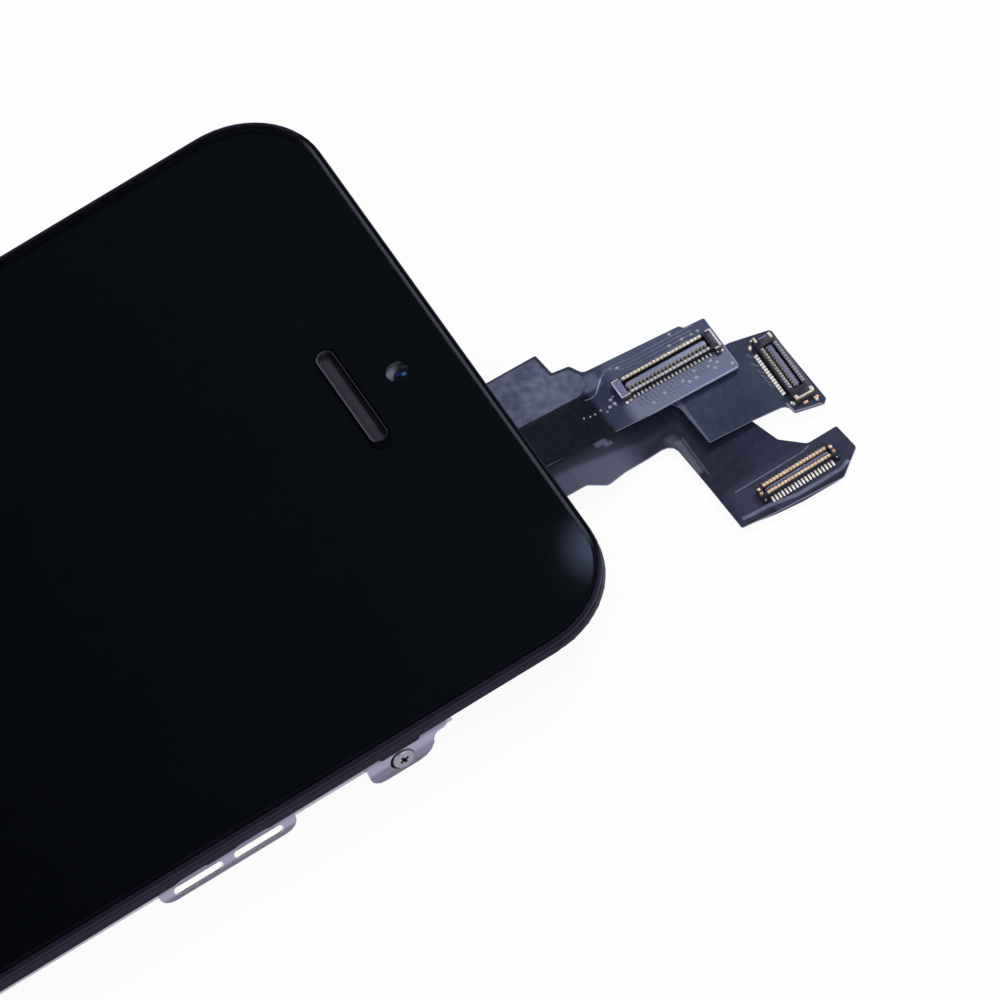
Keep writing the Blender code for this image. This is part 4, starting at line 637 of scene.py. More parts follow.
# Screws.
# Small pan-head steel screws with a cross recess. One is shaped and the other seven are its copies.

SCREW_HEAD, SCREW_SHANK = 0.88 * MM, 0.6 * MM
SCREW_HEIGHT, SCREW_LENGTH = 0.36 * MM, 1.22 * MM
WING_LENGTH, WING_WIDTH, WING_FLOOR, WING_TURN = 0.58 * MM, 0.19 * MM, 0.08 * MM, 0.35

# It stands on z = 0 with its head up and its shank down.
screw = added(
    "screw", bpy.ops.mesh.primitive_cylinder_add, vertices=40, radius=SCREW_HEAD, depth=SCREW_HEIGHT,
    location=(0.0, 0.0, SCREW_HEIGHT / 2),
)
start_edit(screw)
choose(screw, "faces", facing(-1))
bpy.ops.mesh.inset(thickness=SCREW_HEAD - SCREW_SHANK)
extrude(0.0, 0.0, -SCREW_LENGTH + SCREW_SHANK / 3)
extrude(0.0, 0.0, -SCREW_SHANK / 3)
bpy.ops.transform.resize(value=(0.6, 0.6, 1.0))
choose(screw, "edges", lambda edge: all(v.co.z > SCREW_HEIGHT * 0.9 for v in edge.verts))
bpy.ops.mesh.bevel(offset=0.2 * MM, segments=5, affect="EDGES")
stop_edit()
wings = []
for turn in (0.0, math.pi / 2):
    wing = block("cross_wing", (-WING_LENGTH, -WING_WIDTH, WING_FLOOR), (WING_LENGTH, WING_WIDTH, MM))
    start_edit(wing)
    choose(wing, "faces", facing(-1))
    bpy.ops.transform.resize(value=(0.5, 0.5, 1.0))
    stop_edit()
    wings.append(placed(wing, Matrix.Rotation(turn + WING_TURN, 4, "Z")))
smooth(cut_away(screw, *wings), 38.0)

screw_steel = patterned(
    "screw_steel", "grain", 8000.0, (0.22, 0.21, 0.27), (0.36, 0.35, 0.43), (0.24, 0.38), 0.000003,
    Metallic=1.0,
)
# Painted shade darkens the cross recesses of the four side screws.
RECESS_SHADE, SHADE_HALF = 27.88 * MM, (0.09 * MM, 0.42 * MM, 0.42 * MM)
SIDE_SCREW_SEAT, BRACKET_FACE, HOME_FACE = 27.76 * MM, -3.55 * MM, -3.68 * MM
DOWN = (0.0, 0.0, -1.0)
screw_places = {}
for side, where in ((1, "right"), (-1, "left")):
    for end, level in ((1, "upper"), (-1, "lower")):
        shade = (side * RECESS_SHADE, end * SIDE_SCREW_Y, SIDE_SCREW_Z)
        toned(screw_steel, (shade, SHADE_HALF, 0.06 * MM, 0.9, (0.03, 0.03, 0.022)))
        seat = (side * SIDE_SCREW_SEAT, end * SIDE_SCREW_Y, SIDE_SCREW_Z)
        screw_places[f"side_screw_{where}_{level}"] = (seat, (side, 0.0, 0.0))
screw_places["earpiece_screw_left"] = ((-12.8 * MM, TOP_EDGE - 7.0 * MM, BRACKET_FACE), DOWN)
screw_places["earpiece_screw_right"] = ((7.7 * MM, TOP_EDGE - 5.9 * MM, BRACKET_FACE), DOWN)
screw_places["home_screw_left"] = ((-12.6 * MM, HOME_Y, HOME_FACE), DOWN)
screw_places["home_screw_right"] = ((12.6 * MM, HOME_Y, HOME_FACE), DOWN)
for name, (seat, outward) in screw_places.items():
    turned = Vector(outward).to_track_quat("Z", "Y").to_matrix().to_4x4()
    piece = placed(twin_of(screw, name + "_dressed"), Matrix.Translation(seat) @ turned)
    fitted(piece, screw_steel, "rolled_steel", name)
bpy.data.objects.remove(screw, do_unlink=True)

# Earpiece.
# A pressed and perforated metal mesh sits in the glass's slot. A rubber frame seals it to the
# speaker, a flat plastic capsule.

dark_rubber = patterned(
    "dark_rubber", "grain", 7000.0, (0.01, 0.01, 0.012), (0.02, 0.02, 0.022), (0.65, 0.8), 0.00001
)
clad(dark_rubber, "earpiece_gasket", "home_button_gasket")
small_plastic = patterned(
    "small_plastic", "grain", 8000.0, (0.014, 0.014, 0.018), (0.026, 0.026, 0.032), (0.4, 0.55)
)
clad(small_plastic, "earpiece_speaker", "camera_body", "proximity_sensor", "light_sensor")
mesh_metal = patterned(
    "mesh_metal", "grain", 9000.0, (0.028, 0.027, 0.042), (0.046, 0.044, 0.066), (0.5, 0.7), 0.000006,
    Metallic=0.2, Specular_IOR_Level=0.3,
)
# Painted shadow of the slot's +Y wall darkens the mesh along its +Y side.
toned(mesh_metal, ((0.0, EARPIECE_Y + 0.75 * MM), (6 * MM, 0.32 * MM), 0.3 * MM, 0.85, (0.005, 0.006, 0.01)))
lining_plastic = patterned(
    "lining_plastic", "grain", 7000.0, (0.008, 0.009, 0.011), (0.015, 0.016, 0.02), (0.45, 0.6),
    Specular_IOR_Level=0.15,
)
# Painted highlight lightens the lining along its -Y side and at its -X end; along its +Y side a dim tone is
# painted shade.
toned(
    lining_plastic,
    ((0.0, EARPIECE_Y - 0.8 * MM), (5.1 * MM, 0.2 * MM), 0.2 * MM, 0.9, (0.07, 0.068, 0.11)),
    ((-5.1 * MM, EARPIECE_Y - 0.3 * MM), (0.3 * MM, 0.4 * MM), 0.3 * MM, 0.8, (0.04, 0.04, 0.065)),
    ((0.5 * MM, EARPIECE_Y + 0.8 * MM), (5 * MM, 0.2 * MM), 0.2 * MM, 0.8, (0.01, 0.009, 0.012)),
)
lining = plain_ring(
    "earpiece_slot_lining", (9.94 * MM, 1.49 * MM), (9.68 * MM, 1.23 * MM), 0.744 * MM,
    -0.78 * MM, 0.004 * MM, (0.0, EARPIECE_Y),
)
fitted(round_edges(lining, 0.04 * MM, 3), lining_plastic, "black_plastic")
slot_seal = plain_ring(
    "earpiece_slot_seal", (10.24 * MM, 1.79 * MM), (9.9 * MM, 1.45 * MM), 0.894 * MM,
    -0.14 * MM, 0.003 * MM, (0.0, EARPIECE_Y),
)
fitted(round_edges(slot_seal, 0.03 * MM), print_black, "black_glass")
MESH_LENGTH, MESH_WIDTH, MESH_TOP = 9.56 * MM, 1.11 * MM, -0.45 * MM
HOLE_PITCH, HOLE_ROWS, HOLE_DEPTH = 0.2 * MM, 6, 0.05 * MM
HOLE_MARGIN, HOLE_WEB = 0.12 * MM, 0.045 * MM
RIM_FLOOR, RIM_WALL, RIM_DEPTH = -0.98 * MM, 0.1 * MM, 0.07 * MM
# Glued flange round the rim's lower end; its own faces are smaller than this area
FLANGE_WIDTH, FLANGE_SHEET, FLANGE_FACE = 0.7 * MM, 0.09 * MM, 5 * MM * MM


def inside_oblong(x, y, margin):
    """Whether a place lies inside the mesh's round-ended outline."""
    reach = MESH_LENGTH / 2 - MESH_WIDTH / 2
    return math.hypot(max(abs(x) - reach, 0.0), y - EARPIECE_Y) < MESH_WIDTH / 2 - margin


weave = added(
    "earpiece_weave", bpy.ops.mesh.primitive_grid_add, x_subdivisions=round(MESH_LENGTH / HOLE_PITCH),
    y_subdivisions=HOLE_ROWS, size=1.0,
)
weave.data.transform(
    Matrix.Translation((0.0, EARPIECE_Y, MESH_TOP)) @ Matrix.Diagonal((MESH_LENGTH, MESH_WIDTH, 1.0, 1.0))
)
start_edit(weave)
choose(weave, "faces", lambda face: not inside_oblong(*face.calc_center_median().xy, HOLE_MARGIN))
bpy.ops.mesh.delete(type="FACE")
choose(weave, "faces", lambda face: True)
bpy.ops.mesh.inset(thickness=HOLE_WEB, use_individual=True)
extrude(0.0, 0.0, -HOLE_DEPTH)
bpy.ops.mesh.delete(type="FACE")
stop_edit()
rim = block(
    "earpiece_mesh_rim", (-MESH_LENGTH / 2, EARPIECE_Y - MESH_WIDTH / 2, RIM_FLOOR),
    (MESH_LENGTH / 2, EARPIECE_Y + MESH_WIDTH / 2, MESH_TOP + 0.01 * MM),
)
round_corners(rim, MESH_WIDTH / 2 - NEARLY_ROUND, 8)
start_edit(rim)
choose(rim, "faces", facing(1))
bpy.ops.mesh.inset(thickness=RIM_WALL)
extrude(0.0, 0.0, -RIM_DEPTH)
choose(rim, "faces", facing(-1))
bpy.ops.mesh.inset(thickness=FLANGE_WIDTH, use_outset=True)
choose(rim, "faces", lambda face: face.normal.z < -0.9 and face.calc_area() < FLANGE_FACE)
extrude(0.0, 0.0, FLANGE_SHEET)
stop_edit()
fitted(merged("earpiece_mesh_pressed", [weave, rim]), mesh_metal, "grey_mesh", "earpiece_mesh")

# Front camera.
# A grey plastic ring glued behind the glass round the lens barrel, a coated glass lens and the square
# camera body.

ring_plastic = patterned("ring_plastic", "grain", 6000.0, (0.42, 0.39, 0.5), (0.58, 0.55, 0.68), (0.4, 0.55))
# Painted shade darkens the ring and barrel towards +X and +Y, which leaves a lit crescent at their -X and -Y
# side.
toned(
    ring_plastic,
    ((0.1 * MM, TOP_EDGE - 4.0 * MM), (0.7 * MM, 0.5 * MM), 0.7 * MM, 1.0, (0.001, 0.001, 0.002)),
)
clad(ring_plastic, "camera_ring", "camera_barrel")
lens_with_painted_glints = patterned(
    "lens_with_painted_glints", "grain", 3000.0, (0.0012, 0.0014, 0.004), (0.003, 0.003, 0.008), (0.3, 0.4),
    Specular_IOR_Level=0.1,
)
# Two painted glints: soft blue reflections of lamps in the lens.
toned(
    lens_with_painted_glints,
    ((-0.25 * MM, TOP_EDGE - 4.9 * MM), (0.13 * MM, 0.13 * MM), 0.14 * MM, 1.0, (0.025, 0.04, 0.6)),
    ((0.06 * MM, TOP_EDGE - 4.5 * MM), (0.1 * MM, 0.1 * MM), 0.14 * MM, 1.0, (0.12, 0.32, 1.0)),
)
clad(lens_with_painted_glints, "camera_lens")

# Sensors and microphone.
# Proximity sensor in a clear holder, light sensor and a pressed can with the microphone, all soldered
# on the sensor flex.

clad(
    patterned("holder_plastic", "grain", 5000.0, (0.5, 0.5, 0.55), (0.62, 0.62, 0.67), (0.15, 0.3)),
    "sensor_holder",
)
can_metal = patterned(
    "can_metal", "rolled", 2200.0, (0.45, 0.44, 0.46), (0.6, 0.59, 0.6), (0.25, 0.4), Metallic=1.0
)
clad(can_metal, "microphone", "home_switch")

# Brackets.
# Pressed stainless plates that hold the speaker, the camera and the home button's switch.

clad(plate_steel, "earpiece_bracket", "home_bracket")

# Flexes.
# Laminated polyimide films with etched copper between two cover layers, die cut to outline, folded
# behind the frame and soldered to their connectors.

PALE_EDGE = (0.3, 0.3, 0.46)
# Pitch of the wave texture at scale 1
WAVE_PITCH = 0.314


def trace_effect():
    """Etched copper lines under the cover film, seen as faint wavy ribs."""
    sockets = {"Scale": "Float", "Contrast": "Float", "Across": "Vector"}
    group, entry, leave = effect_group("copper_traces", sockets, ["Mask", "Height"])
    place = node_in(group, "TexCoord").outputs["Object"]
    turned = node_in(group, "VectorMath", {0: place, 1: entry.outputs["Across"]}, operation="MULTIPLY")
    waves = {"Vector": turned.outputs[0], "Scale": entry.outputs["Scale"], "Distortion": 3.0}
    waves["Detail Scale"] = 0.4
    ribs = node_in(group, "TexWave", waves, wave_type="BANDS", bands_direction="DIAGONAL")
    worn = node_in(group, "TexNoise", {"Vector": place, "Scale": 1300.0, "Detail": 2.0})
    both = node_in(group, "Math", {0: ribs.outputs["Fac"], 1: worn.outputs["Fac"]}, operation="MULTIPLY")
    share = node_in(group, "Math", {0: both.outputs[0], 1: entry.outputs["Contrast"]}, operation="MULTIPLY")
    group.links.new(share.outputs[0], leave.inputs["Mask"])
    group.links.new(ribs.outputs["Fac"], leave.inputs["Height"])
    return group


EFFECTS["traces"] = trace_effect()


def film(name, dark, light, roughness, ribs=None, patches=()):
    """Flex film: a ground colour, tones in places, copper ribs under it and pale cut edges.

    ribs is (direction, pitch, share, colour). Lengths are in millimetres, and places count from the
    top edge.
    """
    made = patterned(
        name, "grain", 2600.0, dark, light, roughness, 0.000004,
        Specular_IOR_Level=0.25, Specular_Tint=(0.7, 0.76, 1.0, 1.0),
    )
    tree = made.node_tree
    for (x, y), (half_x, half_y), border, share, colour in patches:
        centre, half = (x * MM, TOP_EDGE + y * MM), (half_x * MM, half_y * MM)
        toned(made, (centre, half, border * MM, share, colour))
    if ribs:
        direction, pitch, share, colour = ribs
        lines = node_in(tree, "Group", node_tree=EFFECTS["traces"])
        lines.inputs["Scale"].default_value = WAVE_PITCH / (pitch * MM)
        lines.inputs["Contrast"].default_value = 1.6
        lines.inputs["Across"].default_value = direction
        mixed_in(tree, lines.outputs["Mask"], colour, share)
    return edged(made, (0.0, 0.0, 1.0), PALE_EDGE, 0.8)


display_film = film(
    "display_film", (0.023, 0.029, 0.062), (0.034, 0.04, 0.08), (0.3, 0.42),
    patches=(
        ((8.7, 12.2), (1.4, 3.6), 1.4, 0.9, (0.07, 0.082, 0.148)),
        ((12.5, 12.4), (0.9, 4.0), 1.2, 0.95, (0.155, 0.172, 0.272)),
        ((11.4, 3.0), (2.3, 2.7), 0.6, 1.0, (0.002, 0.003, 0.009)),
        ((13.5, 11.6), (0.11, 4.7), 0.04, 0.9, (0.42, 0.43, 0.58)),
        ((10.8, 16.5), (2.8, 0.1), 0.06, 0.8, (0.3, 0.31, 0.45)),
        ((8.15, 6.6), (0.5, 0.5), 0.45, 0.95, (0.085, 0.1, 0.175)),
    ),
)
# The cut edge along the dark strip stays dark.
toned(
    display_film,
    ((13.1 * MM, TOP_EDGE + 2.2 * MM), (0.25 * MM, 3.6 * MM), 0.5 * MM, 0.95, (0.003, 0.004, 0.01)),
)
touch_film = film(
    "touch_film", (0.026, 0.035, 0.066), (0.037, 0.046, 0.084), (0.3, 0.42),
    ribs=((0.3, 1.0, 0.0), 0.5, 0.04, (0.12, 0.14, 0.22)),
    patches=(
        ((17.5, 11.2), (4.5, 0.16), 0.06, 0.5, (0.16, 0.17, 0.25)),
        ((18.9, 17.7), (0.7, 0.08), 0.05, 0.6, (0.3, 0.31, 0.42)),
    ),
)
sensor_film = film(
    "sensor_film", (0.016, 0.02, 0.046), (0.028, 0.03, 0.064), (0.3, 0.42),
    ribs=((1.0, 0.3, 0.0), 0.6, 0.04, (0.12, 0.13, 0.2)),
    patches=(
        ((15.6, 2.6), (2.2, 2.0), 3.0, 0.95, (0.085, 0.09, 0.14)),
        ((18.4, 9.8), (3.2, 2.2), 1.8, 0.85, (0.013, 0.0165, 0.03)),
        ((24.5, 15.0), (2.0, 4.5), 1.0, 0.8, (0.04, 0.042, 0.075)),
        ((26.25, 16.2), (0.3, 3.4), 0.15, 0.9, (0.02, 0.02, 0.036)),
        ((25.75, 11.0), (0.3, 1.4), 0.15, 0.9, (0.02, 0.02, 0.036)),
        ((12.62, 4.75), (0.08, 0.3), 0.34, 0.95, (0.34, 0.4, 0.62)),
        ((13.0, 5.2), (0.06, 0.2), 0.24, 0.9, (0.28, 0.33, 0.52)),
        # Painted highlight along the arm's lower edge, where the flex curls down.
        ((17.6, 9.5), (1.6, 0.08), 0.36, 0.75, (0.12, 0.125, 0.19)),
        ((15.7, 9.15), (0.3, 0.1), 0.6, 0.4, (0.13, 0.125, 0.18)),
        ((17.8, 9.95), (2.0, 0.01), 0.1, 0.6, (0.11, 0.115, 0.17)),
    ),
)
home_film = film(
    "home_film", (0.016, 0.02, 0.046), (0.028, 0.03, 0.064), (0.3, 0.42),
    ribs=((1.0, 0.3, 0.0), 0.6, 0.1, (0.12, 0.13, 0.2)),
)
for name, finish in (
    ("display_flex", display_film), ("touch_flex", touch_film),
    ("sensor_flex", sensor_film), ("home_flex", home_film),
):
    sheet = solid_copy(name)
    smooth(sheet, 30.0)
    fitted(sheet, finish, "flex_film", name)
shield_foil = patterned(
    "shield_foil", "grain", 1500.0, (0.07, 0.082, 0.15), (0.13, 0.145, 0.24), (0.3, 0.5), 0.00003,
    Metallic=0.3, Specular_IOR_Level=0.4,
)
clad(edged(shield_foil, (0.0, 0.0, 1.0), (0.1, 0.115, 0.195), 0.9), "shield_film")
stiffener_board = patterned(
    "stiffener_board", "grain", 5000.0, (0.012, 0.013, 0.022), (0.022, 0.023, 0.036), (0.4, 0.55)
)
clad(stiffener_board, "display_stiffener", "touch_stiffener")

# Plated holes of the flexes.
# Small round bumps where a copper-plated hole joins the layers under the cover film.

VIAS = (
    (7.78, 13.58), (8.72, 13.06), (8.74, 14.12), (8.78, 14.93), (8.77, 15.47), (12.17, 12.33),
    (12.5, 12.72), (12.5, 13.33), (11.84, 13.46), (12.12, 14.53), (12.49, 14.89), (12.15, 15.27),
    (11.75, 14.91), (10.48, 7.1), (10.93, 7.2), (11.02, 6.76), (12.9, 16.15), (8.2, 8.9),
    (12.6, 9.6), (12.3, 10.7),
)
SMALL_VIAS = (
    (10.89, 6.05), (10.96, 5.53), (10.94, 5.13), (10.78, 4.67), (11.11, 7.23), (10.32, 7.39), (11.3, 6.4)
)


def solder_bead(name, spots):
    """Small flattened drops, each (x, y, radius, height) in millimetres."""
    beads = []
    for spot in spots:
        x, y, radius, height = (value * MM for value in spot)
        bead = added(name, bpy.ops.mesh.primitive_uv_sphere_add, segments=14, ring_count=8, radius=1.0)
        start_edit(bead)
        choose(bead, "verts", lambda vertex: vertex.co.z < -0.3)
        bpy.ops.transform.resize(value=(1.15, 1.15, 0.1))
        stop_edit()
        size = Matrix.Diagonal((radius, radius, height, 1.0))
        bead.data.transform(Matrix.Translation((x, y, height * 0.3)) @ size)
        beads.append(bead)
    drops = merged(name, beads)
    smooth(drops, 60.0)
    return drops


TAIL_TILT = math.atan(0.066)


def flex_plane(height, tilt=TAIL_TILT):
    """The middle of a flex past the top edge, which falls away by its tilt."""
    return Matrix.Translation((0.0, TOP_EDGE, height)) @ Matrix.Rotation(-tilt, 4, "X")


def bent_strip(name, path, width, thickness):
    """A strip bent along (x, z) points, as wide as given along Y."""
    strip = added(name, bpy.ops.mesh.primitive_plane_add, size=width)
    start_edit(strip)
    for side, (x, z) in zip((-0.5, 0.5), path):
        choose(strip, "edges", lambda edge: all(abs(v.co.x - side * width) < 1e-8 for v in edge.verts))
        bpy.ops.transform.translate(value=(x - side * width, 0.0, z))
    for (xa, za), (xb, zb) in zip(path[1:], path[2:]):
        bpy.ops.mesh.extrude_edges_move(TRANSFORM_OT_translate={"value": (xb - xa, 0.0, zb - za)})
    stop_edit()
    sheet = strip.modifiers.new("sheet", "SOLIDIFY")
    sheet.thickness = thickness
    sheet.offset = 0.0
    turn_outwards(apply_all(strip))
    return strip


def repeated(name, piece, matrices):
    """Copies of a piece, each with its own mesh, joined into one."""
    copies = []
    for matrix in matrices:
        copies.append(twin_of(piece, name))
        copies[-1].data.transform(matrix)
    bpy.data.objects.remove(piece, do_unlink=True)
    rows = merged(name, copies)
    turn_outwards(rows)
    smooth(rows, 50.0)
    return rows


def ridge(name, path, width, height):
    """A low rounded line that follows (x, y) points over a film, in millimetres."""
    wall = bent_strip(name, [(x * MM, -y * MM) for x, y in path], height, width)
    return round_edges(placed(wall, Matrix.Rotation(math.pi / 2, 4, "X")), 0.3 * min(width, height))


via_film = patterned(
    "via_film", "grain", 6000.0, (0.2, 0.22, 0.32), (0.34, 0.36, 0.48), (0.3, 0.42), Specular_IOR_Level=0.4
)
DISPLAY_FLEX_Z = -2.45 * MM
via_spots = [(x, y, 0.15, 0.05) for x, y in VIAS] + [(x, y, 0.09, 0.04) for x, y in SMALL_VIAS]
vias = placed(solder_bead("display_flex_vias", via_spots), flex_plane(DISPLAY_FLEX_Z + 0.05 * MM))
fitted(vias, via_film, "flex_film")

# Raised lines of the flexes.
# The etched copper stands up a little under the cover film, and the folded edges are rounded and pale.

trace_film = patterned(
    "trace_film", "grain", 2600.0, (0.1, 0.11, 0.19), (0.15, 0.165, 0.26), (0.3, 0.42), Specular_IOR_Level=0.4
)
pale_film = patterned(
    "pale_film", "grain", 2600.0, (0.19, 0.2, 0.27), (0.26, 0.27, 0.35), (0.3, 0.42), Specular_IOR_Level=0.4
)
TOUCH_FLEX_Z, SENSOR_FLEX_Z = -2.9 * MM, -4.3 * MM
LINE_LIFT = 0.06 * MM
display_top, touch_top = flex_plane(DISPLAY_FLEX_Z + LINE_LIFT), flex_plane(TOUCH_FLEX_Z + LINE_LIFT)
sensor_top = flex_plane(SENSOR_FLEX_Z + LINE_LIFT, 0.0)
LINE_HEIGHT = 0.03 * MM
# One line fans out from each contact of the display connector.
CONTACT_ROW = (21, 0.322 * MM, 11.96 * MM)
count, pitch, middle = CONTACT_ROW
fan = [
    Matrix.Translation((0.0, middle + (index - (count - 1) // 2) * pitch, 0.0)) for index in range(count)
]
fan_path = [(11.66, 0.0), (12.1, 0.05), (12.45, 0.18), (12.75, 0.42)]
fan_line = ridge("fan_line", fan_path, 0.1 * MM, LINE_HEIGHT)
fitted(placed(repeated("display_flex_fan", fan_line, fan), display_top), trace_film, "flex_film")
lines = []
for shift in range(5):
    x = 7.75 + 0.34 * shift
    path = [(x, 7.9 + 0.5 * shift), (x + 0.25, 10.2), (x + 0.3, 15.4 - 0.3 * shift)]
    lines.append(ridge("feed_line", path, 0.08 * MM, LINE_HEIGHT))
fitted(placed(merged("display_flex_traces", lines), display_top), trace_film, "flex_film")
STRANDS = ((12.95, 17.8), (13.9, 17.75), (14.7, 17.78), (15.3, 17.8), (15.8, 17.82), (16.3, 17.85))
strands = [Matrix.Translation((x * MM, y * MM, 0.0)) for x, y in STRANDS]
strand = ridge("strand", [(0.1, 0.0), (-0.05, -0.22), (-0.5, -0.36)], 0.08 * MM, LINE_HEIGHT)
fitted(placed(repeated("touch_flex_traces", strand, strands), touch_top), trace_film, "flex_film")
# Width, height and path, all in millimetres
LINES = (
    ("shield_film_border", pale_film, display_top, 0.13, 0.07, ((8.3, 7.45), (8.8, 7.0), (9.36, 6.5))),
    ("shield_film_border_low", trace_film, display_top, 0.1, 0.04, (
        (7.94, 8.6), (7.96, 7.9), (8.28, 7.5), (9.38, 6.48), (9.51, 5.98), (9.4, 5.5),
    )),
    ("sensor_flex_crease", trace_film, sensor_top, 0.12, 0.05, (
        (22.52, 10.7), (22.54, 13.5), (22.52, 16.6), (22.3, 17.2),
    )),
    ("touch_flex_rim", pale_film, touch_top, 0.12, 0.08, (
        (18.4, 17.72), (19.2, 17.84), (19.42, 18.6), (19.72, 19.85),
    )),
    ("sensor_flex_fold", trace_film, sensor_top, 0.34, 0.14, (
        (24.9, 10.0), (25.02, 10.6), (25.1, 12.2), (25.32, 13.1), (25.6, 14.4), (25.64, 16.8),
        (25.62, 18.1), (25.3, 18.9),
    )),
)
for name, finish, place, width, height, path in LINES:
    fitted(placed(ridge(name, path, width * MM, height * MM), place), finish, "flex_film")

# Stiffener of the sensor flex.
# A die-cut board bonded under the connector's pad, which follows the pad's outline.


def cut_board(name, outline, low, high):
    """A board of the given (x, y) outline in millimetres, which counts from the top edge."""
    board = added(
        name, bpy.ops.mesh.primitive_circle_add, vertices=len(outline), radius=MM, fill_type="NGON"
    )
    for vertex, (x, y) in zip(board.data.vertices, outline):
        vertex.co = (x * MM, TOP_EDGE + y * MM, low)
    start_edit(board)
    bpy.ops.mesh.select_all(action="SELECT")
    extrude(0.0, 0.0, high - low)
    stop_edit()
    turn_outwards(board)
    return round_corners(board, 0.2 * MM, 3)


SENSOR_BOARD = (
    (22.7, 10.6), (25.35, 10.4), (25.78, 12.3), (26.05, 14.4), (26.12, 17.5), (25.8, 18.25),
    (24.8, 19.4), (22.7, 19.3),
)
sensor_board = cut_board("sensor_stiffener_cut", SENSOR_BOARD, -4.68 * MM, -4.38 * MM)
fitted(sensor_board, stiffener_board, "stiffener_board", "sensor_stiffener")

# Board connectors.
# Each has a moulded housing with a trough, and a low tongue in the trough. Plated contacts hook over its
# walls and rise along the tongue, and tinned tails and metal clips hold it on the flex.

trough_plastic = patterned(
    "trough_plastic", "grain", 7000.0, (0.006, 0.006, 0.012), (0.014, 0.014, 0.024), (0.4, 0.55),
    Specular_IOR_Level=0.3,
)
board_housing = patterned(
    "board_housing", "grain", 7000.0, (0.018, 0.018, 0.034), (0.03, 0.03, 0.052), (0.4, 0.55),
    Specular_IOR_Level=0.3,
)
tongue_plastic = patterned(
    "tongue_plastic", "grain", 7000.0, (0.11, 0.12, 0.22), (0.17, 0.18, 0.31), (0.4, 0.55)
)
rich_tongue = patterned(
    "rich_tongue", "grain", 7000.0, (0.17, 0.18, 0.3), (0.25, 0.26, 0.4), (0.4, 0.55)
)
# Name, dark and light colour, metallic, and the tone of the upright faces, darker than the top as painted
# shade on sides out of the light.
METALS = (
    ("pale_gold", (0.56, 0.49, 0.41), (0.84, 0.78, 0.7), 0.2, (0.06, 0.035, 0.03)),
    ("grey_metal", (0.38, 0.37, 0.4), (0.62, 0.61, 0.64), 0.2, (0.06, 0.05, 0.05)),
    ("rich_gold", (0.72, 0.5, 0.32), (1.0, 0.82, 0.62), 0.2, (0.3, 0.1, 0.035)),
    ("grey_gold", (0.17, 0.16, 0.16), (0.32, 0.31, 0.3), 0.3, (0.04, 0.03, 0.03)),
    ("dark_gold", (0.22, 0.2, 0.18), (0.38, 0.35, 0.32), 0.2, (0.2, 0.18, 0.15)),
    ("copper_pink", (0.55, 0.25, 0.16), (0.85, 0.55, 0.42), 0.2, (0.3, 0.1, 0.05)),
    ("dull_lavender", (0.2, 0.195, 0.25), (0.3, 0.29, 0.36), 0.0, (0.03, 0.03, 0.045)),
    ("bright_tin", (0.74, 0.7, 0.69), (1.0, 0.97, 0.95), 0.0, (0.34, 0.26, 0.23)),
    ("tail_tin", (0.5, 0.46, 0.43), (0.8, 0.76, 0.73), 0.0, (0.36, 0.28, 0.24)),
    ("clip_steel", (0.45, 0.44, 0.5), (0.72, 0.71, 0.78), 0.2, (0.02, 0.02, 0.03)),
)
metal = {}
# Each metal's upright faces take its side tone, as painted shade.
for name, dark, light, metallic, side_shade_tone in METALS:
    finish = patterned(name, "grain", 2400.0, dark, light, (0.32, 0.46), Metallic=metallic)
    metal[name] = edged(finish, (0.0, 0.0, 1.0), side_shade_tone, 0.9)


def trough(name, width, length, height, wall, end_wall):
    """A housing with a trough in its top."""
    body = block(name, (-width / 2, -length / 2, 0.0), (width / 2, length / 2, height))
    start_edit(body)
    choose(body, "faces", facing(1))
    bpy.ops.mesh.inset(thickness=wall)
    bpy.ops.transform.resize(value=(1.0, (length - 2 * end_wall) / (length - 2 * wall), 1.0))
    extrude(0.0, 0.0, 0.1 * MM - height)
    stop_edit()
    return round_edges(body, 0.03 * MM)


def tongue_bar(name, half, length, height):
    """The bar that stands in the trough, with its ends drawn out narrower and lower."""
    foot = 0.06 * MM
    bar = block(name, (-half, -length / 2, foot), (half, length / 2, height))
    start_edit(bar)
    for end in (-1, 1):
        choose(bar, "faces", lambda face: face.normal.y * end > 0.9)
        extrude(0.0, end * 0.3 * MM, 0.0)
        bpy.ops.transform.resize(value=(0.6, 1.0, 0.9), center_override=(0.0, 0.0, foot))
    stop_edit()
    return round_edges(bar, 0.04 * MM)


def row(count, pitch, turn=0.0):
    """Places of the contacts along one long side."""
    return [
        Matrix.Rotation(turn, 4, "Z") @ Matrix.Translation((0.0, (index - (count - 1) / 2) * pitch, 0.0))
        for index in range(count)
    ]


def small_blocks(name, boxes):
    """Small rounded bars of a clip or pads, each from and to in x, y and z, in millimetres."""
    bars = []
    for x0, x1, y0, y1, z0, z1 in boxes:
        bar = block(name, (x0 * MM, y0 * MM, z0 * MM), (x1 * MM, y1 * MM, z1 * MM))
        bars.append(round_edges(bar, 0.3 * min(x1 - x0, y1 - y0, z1 - z0) * MM, 3))
    return merged(name, bars)


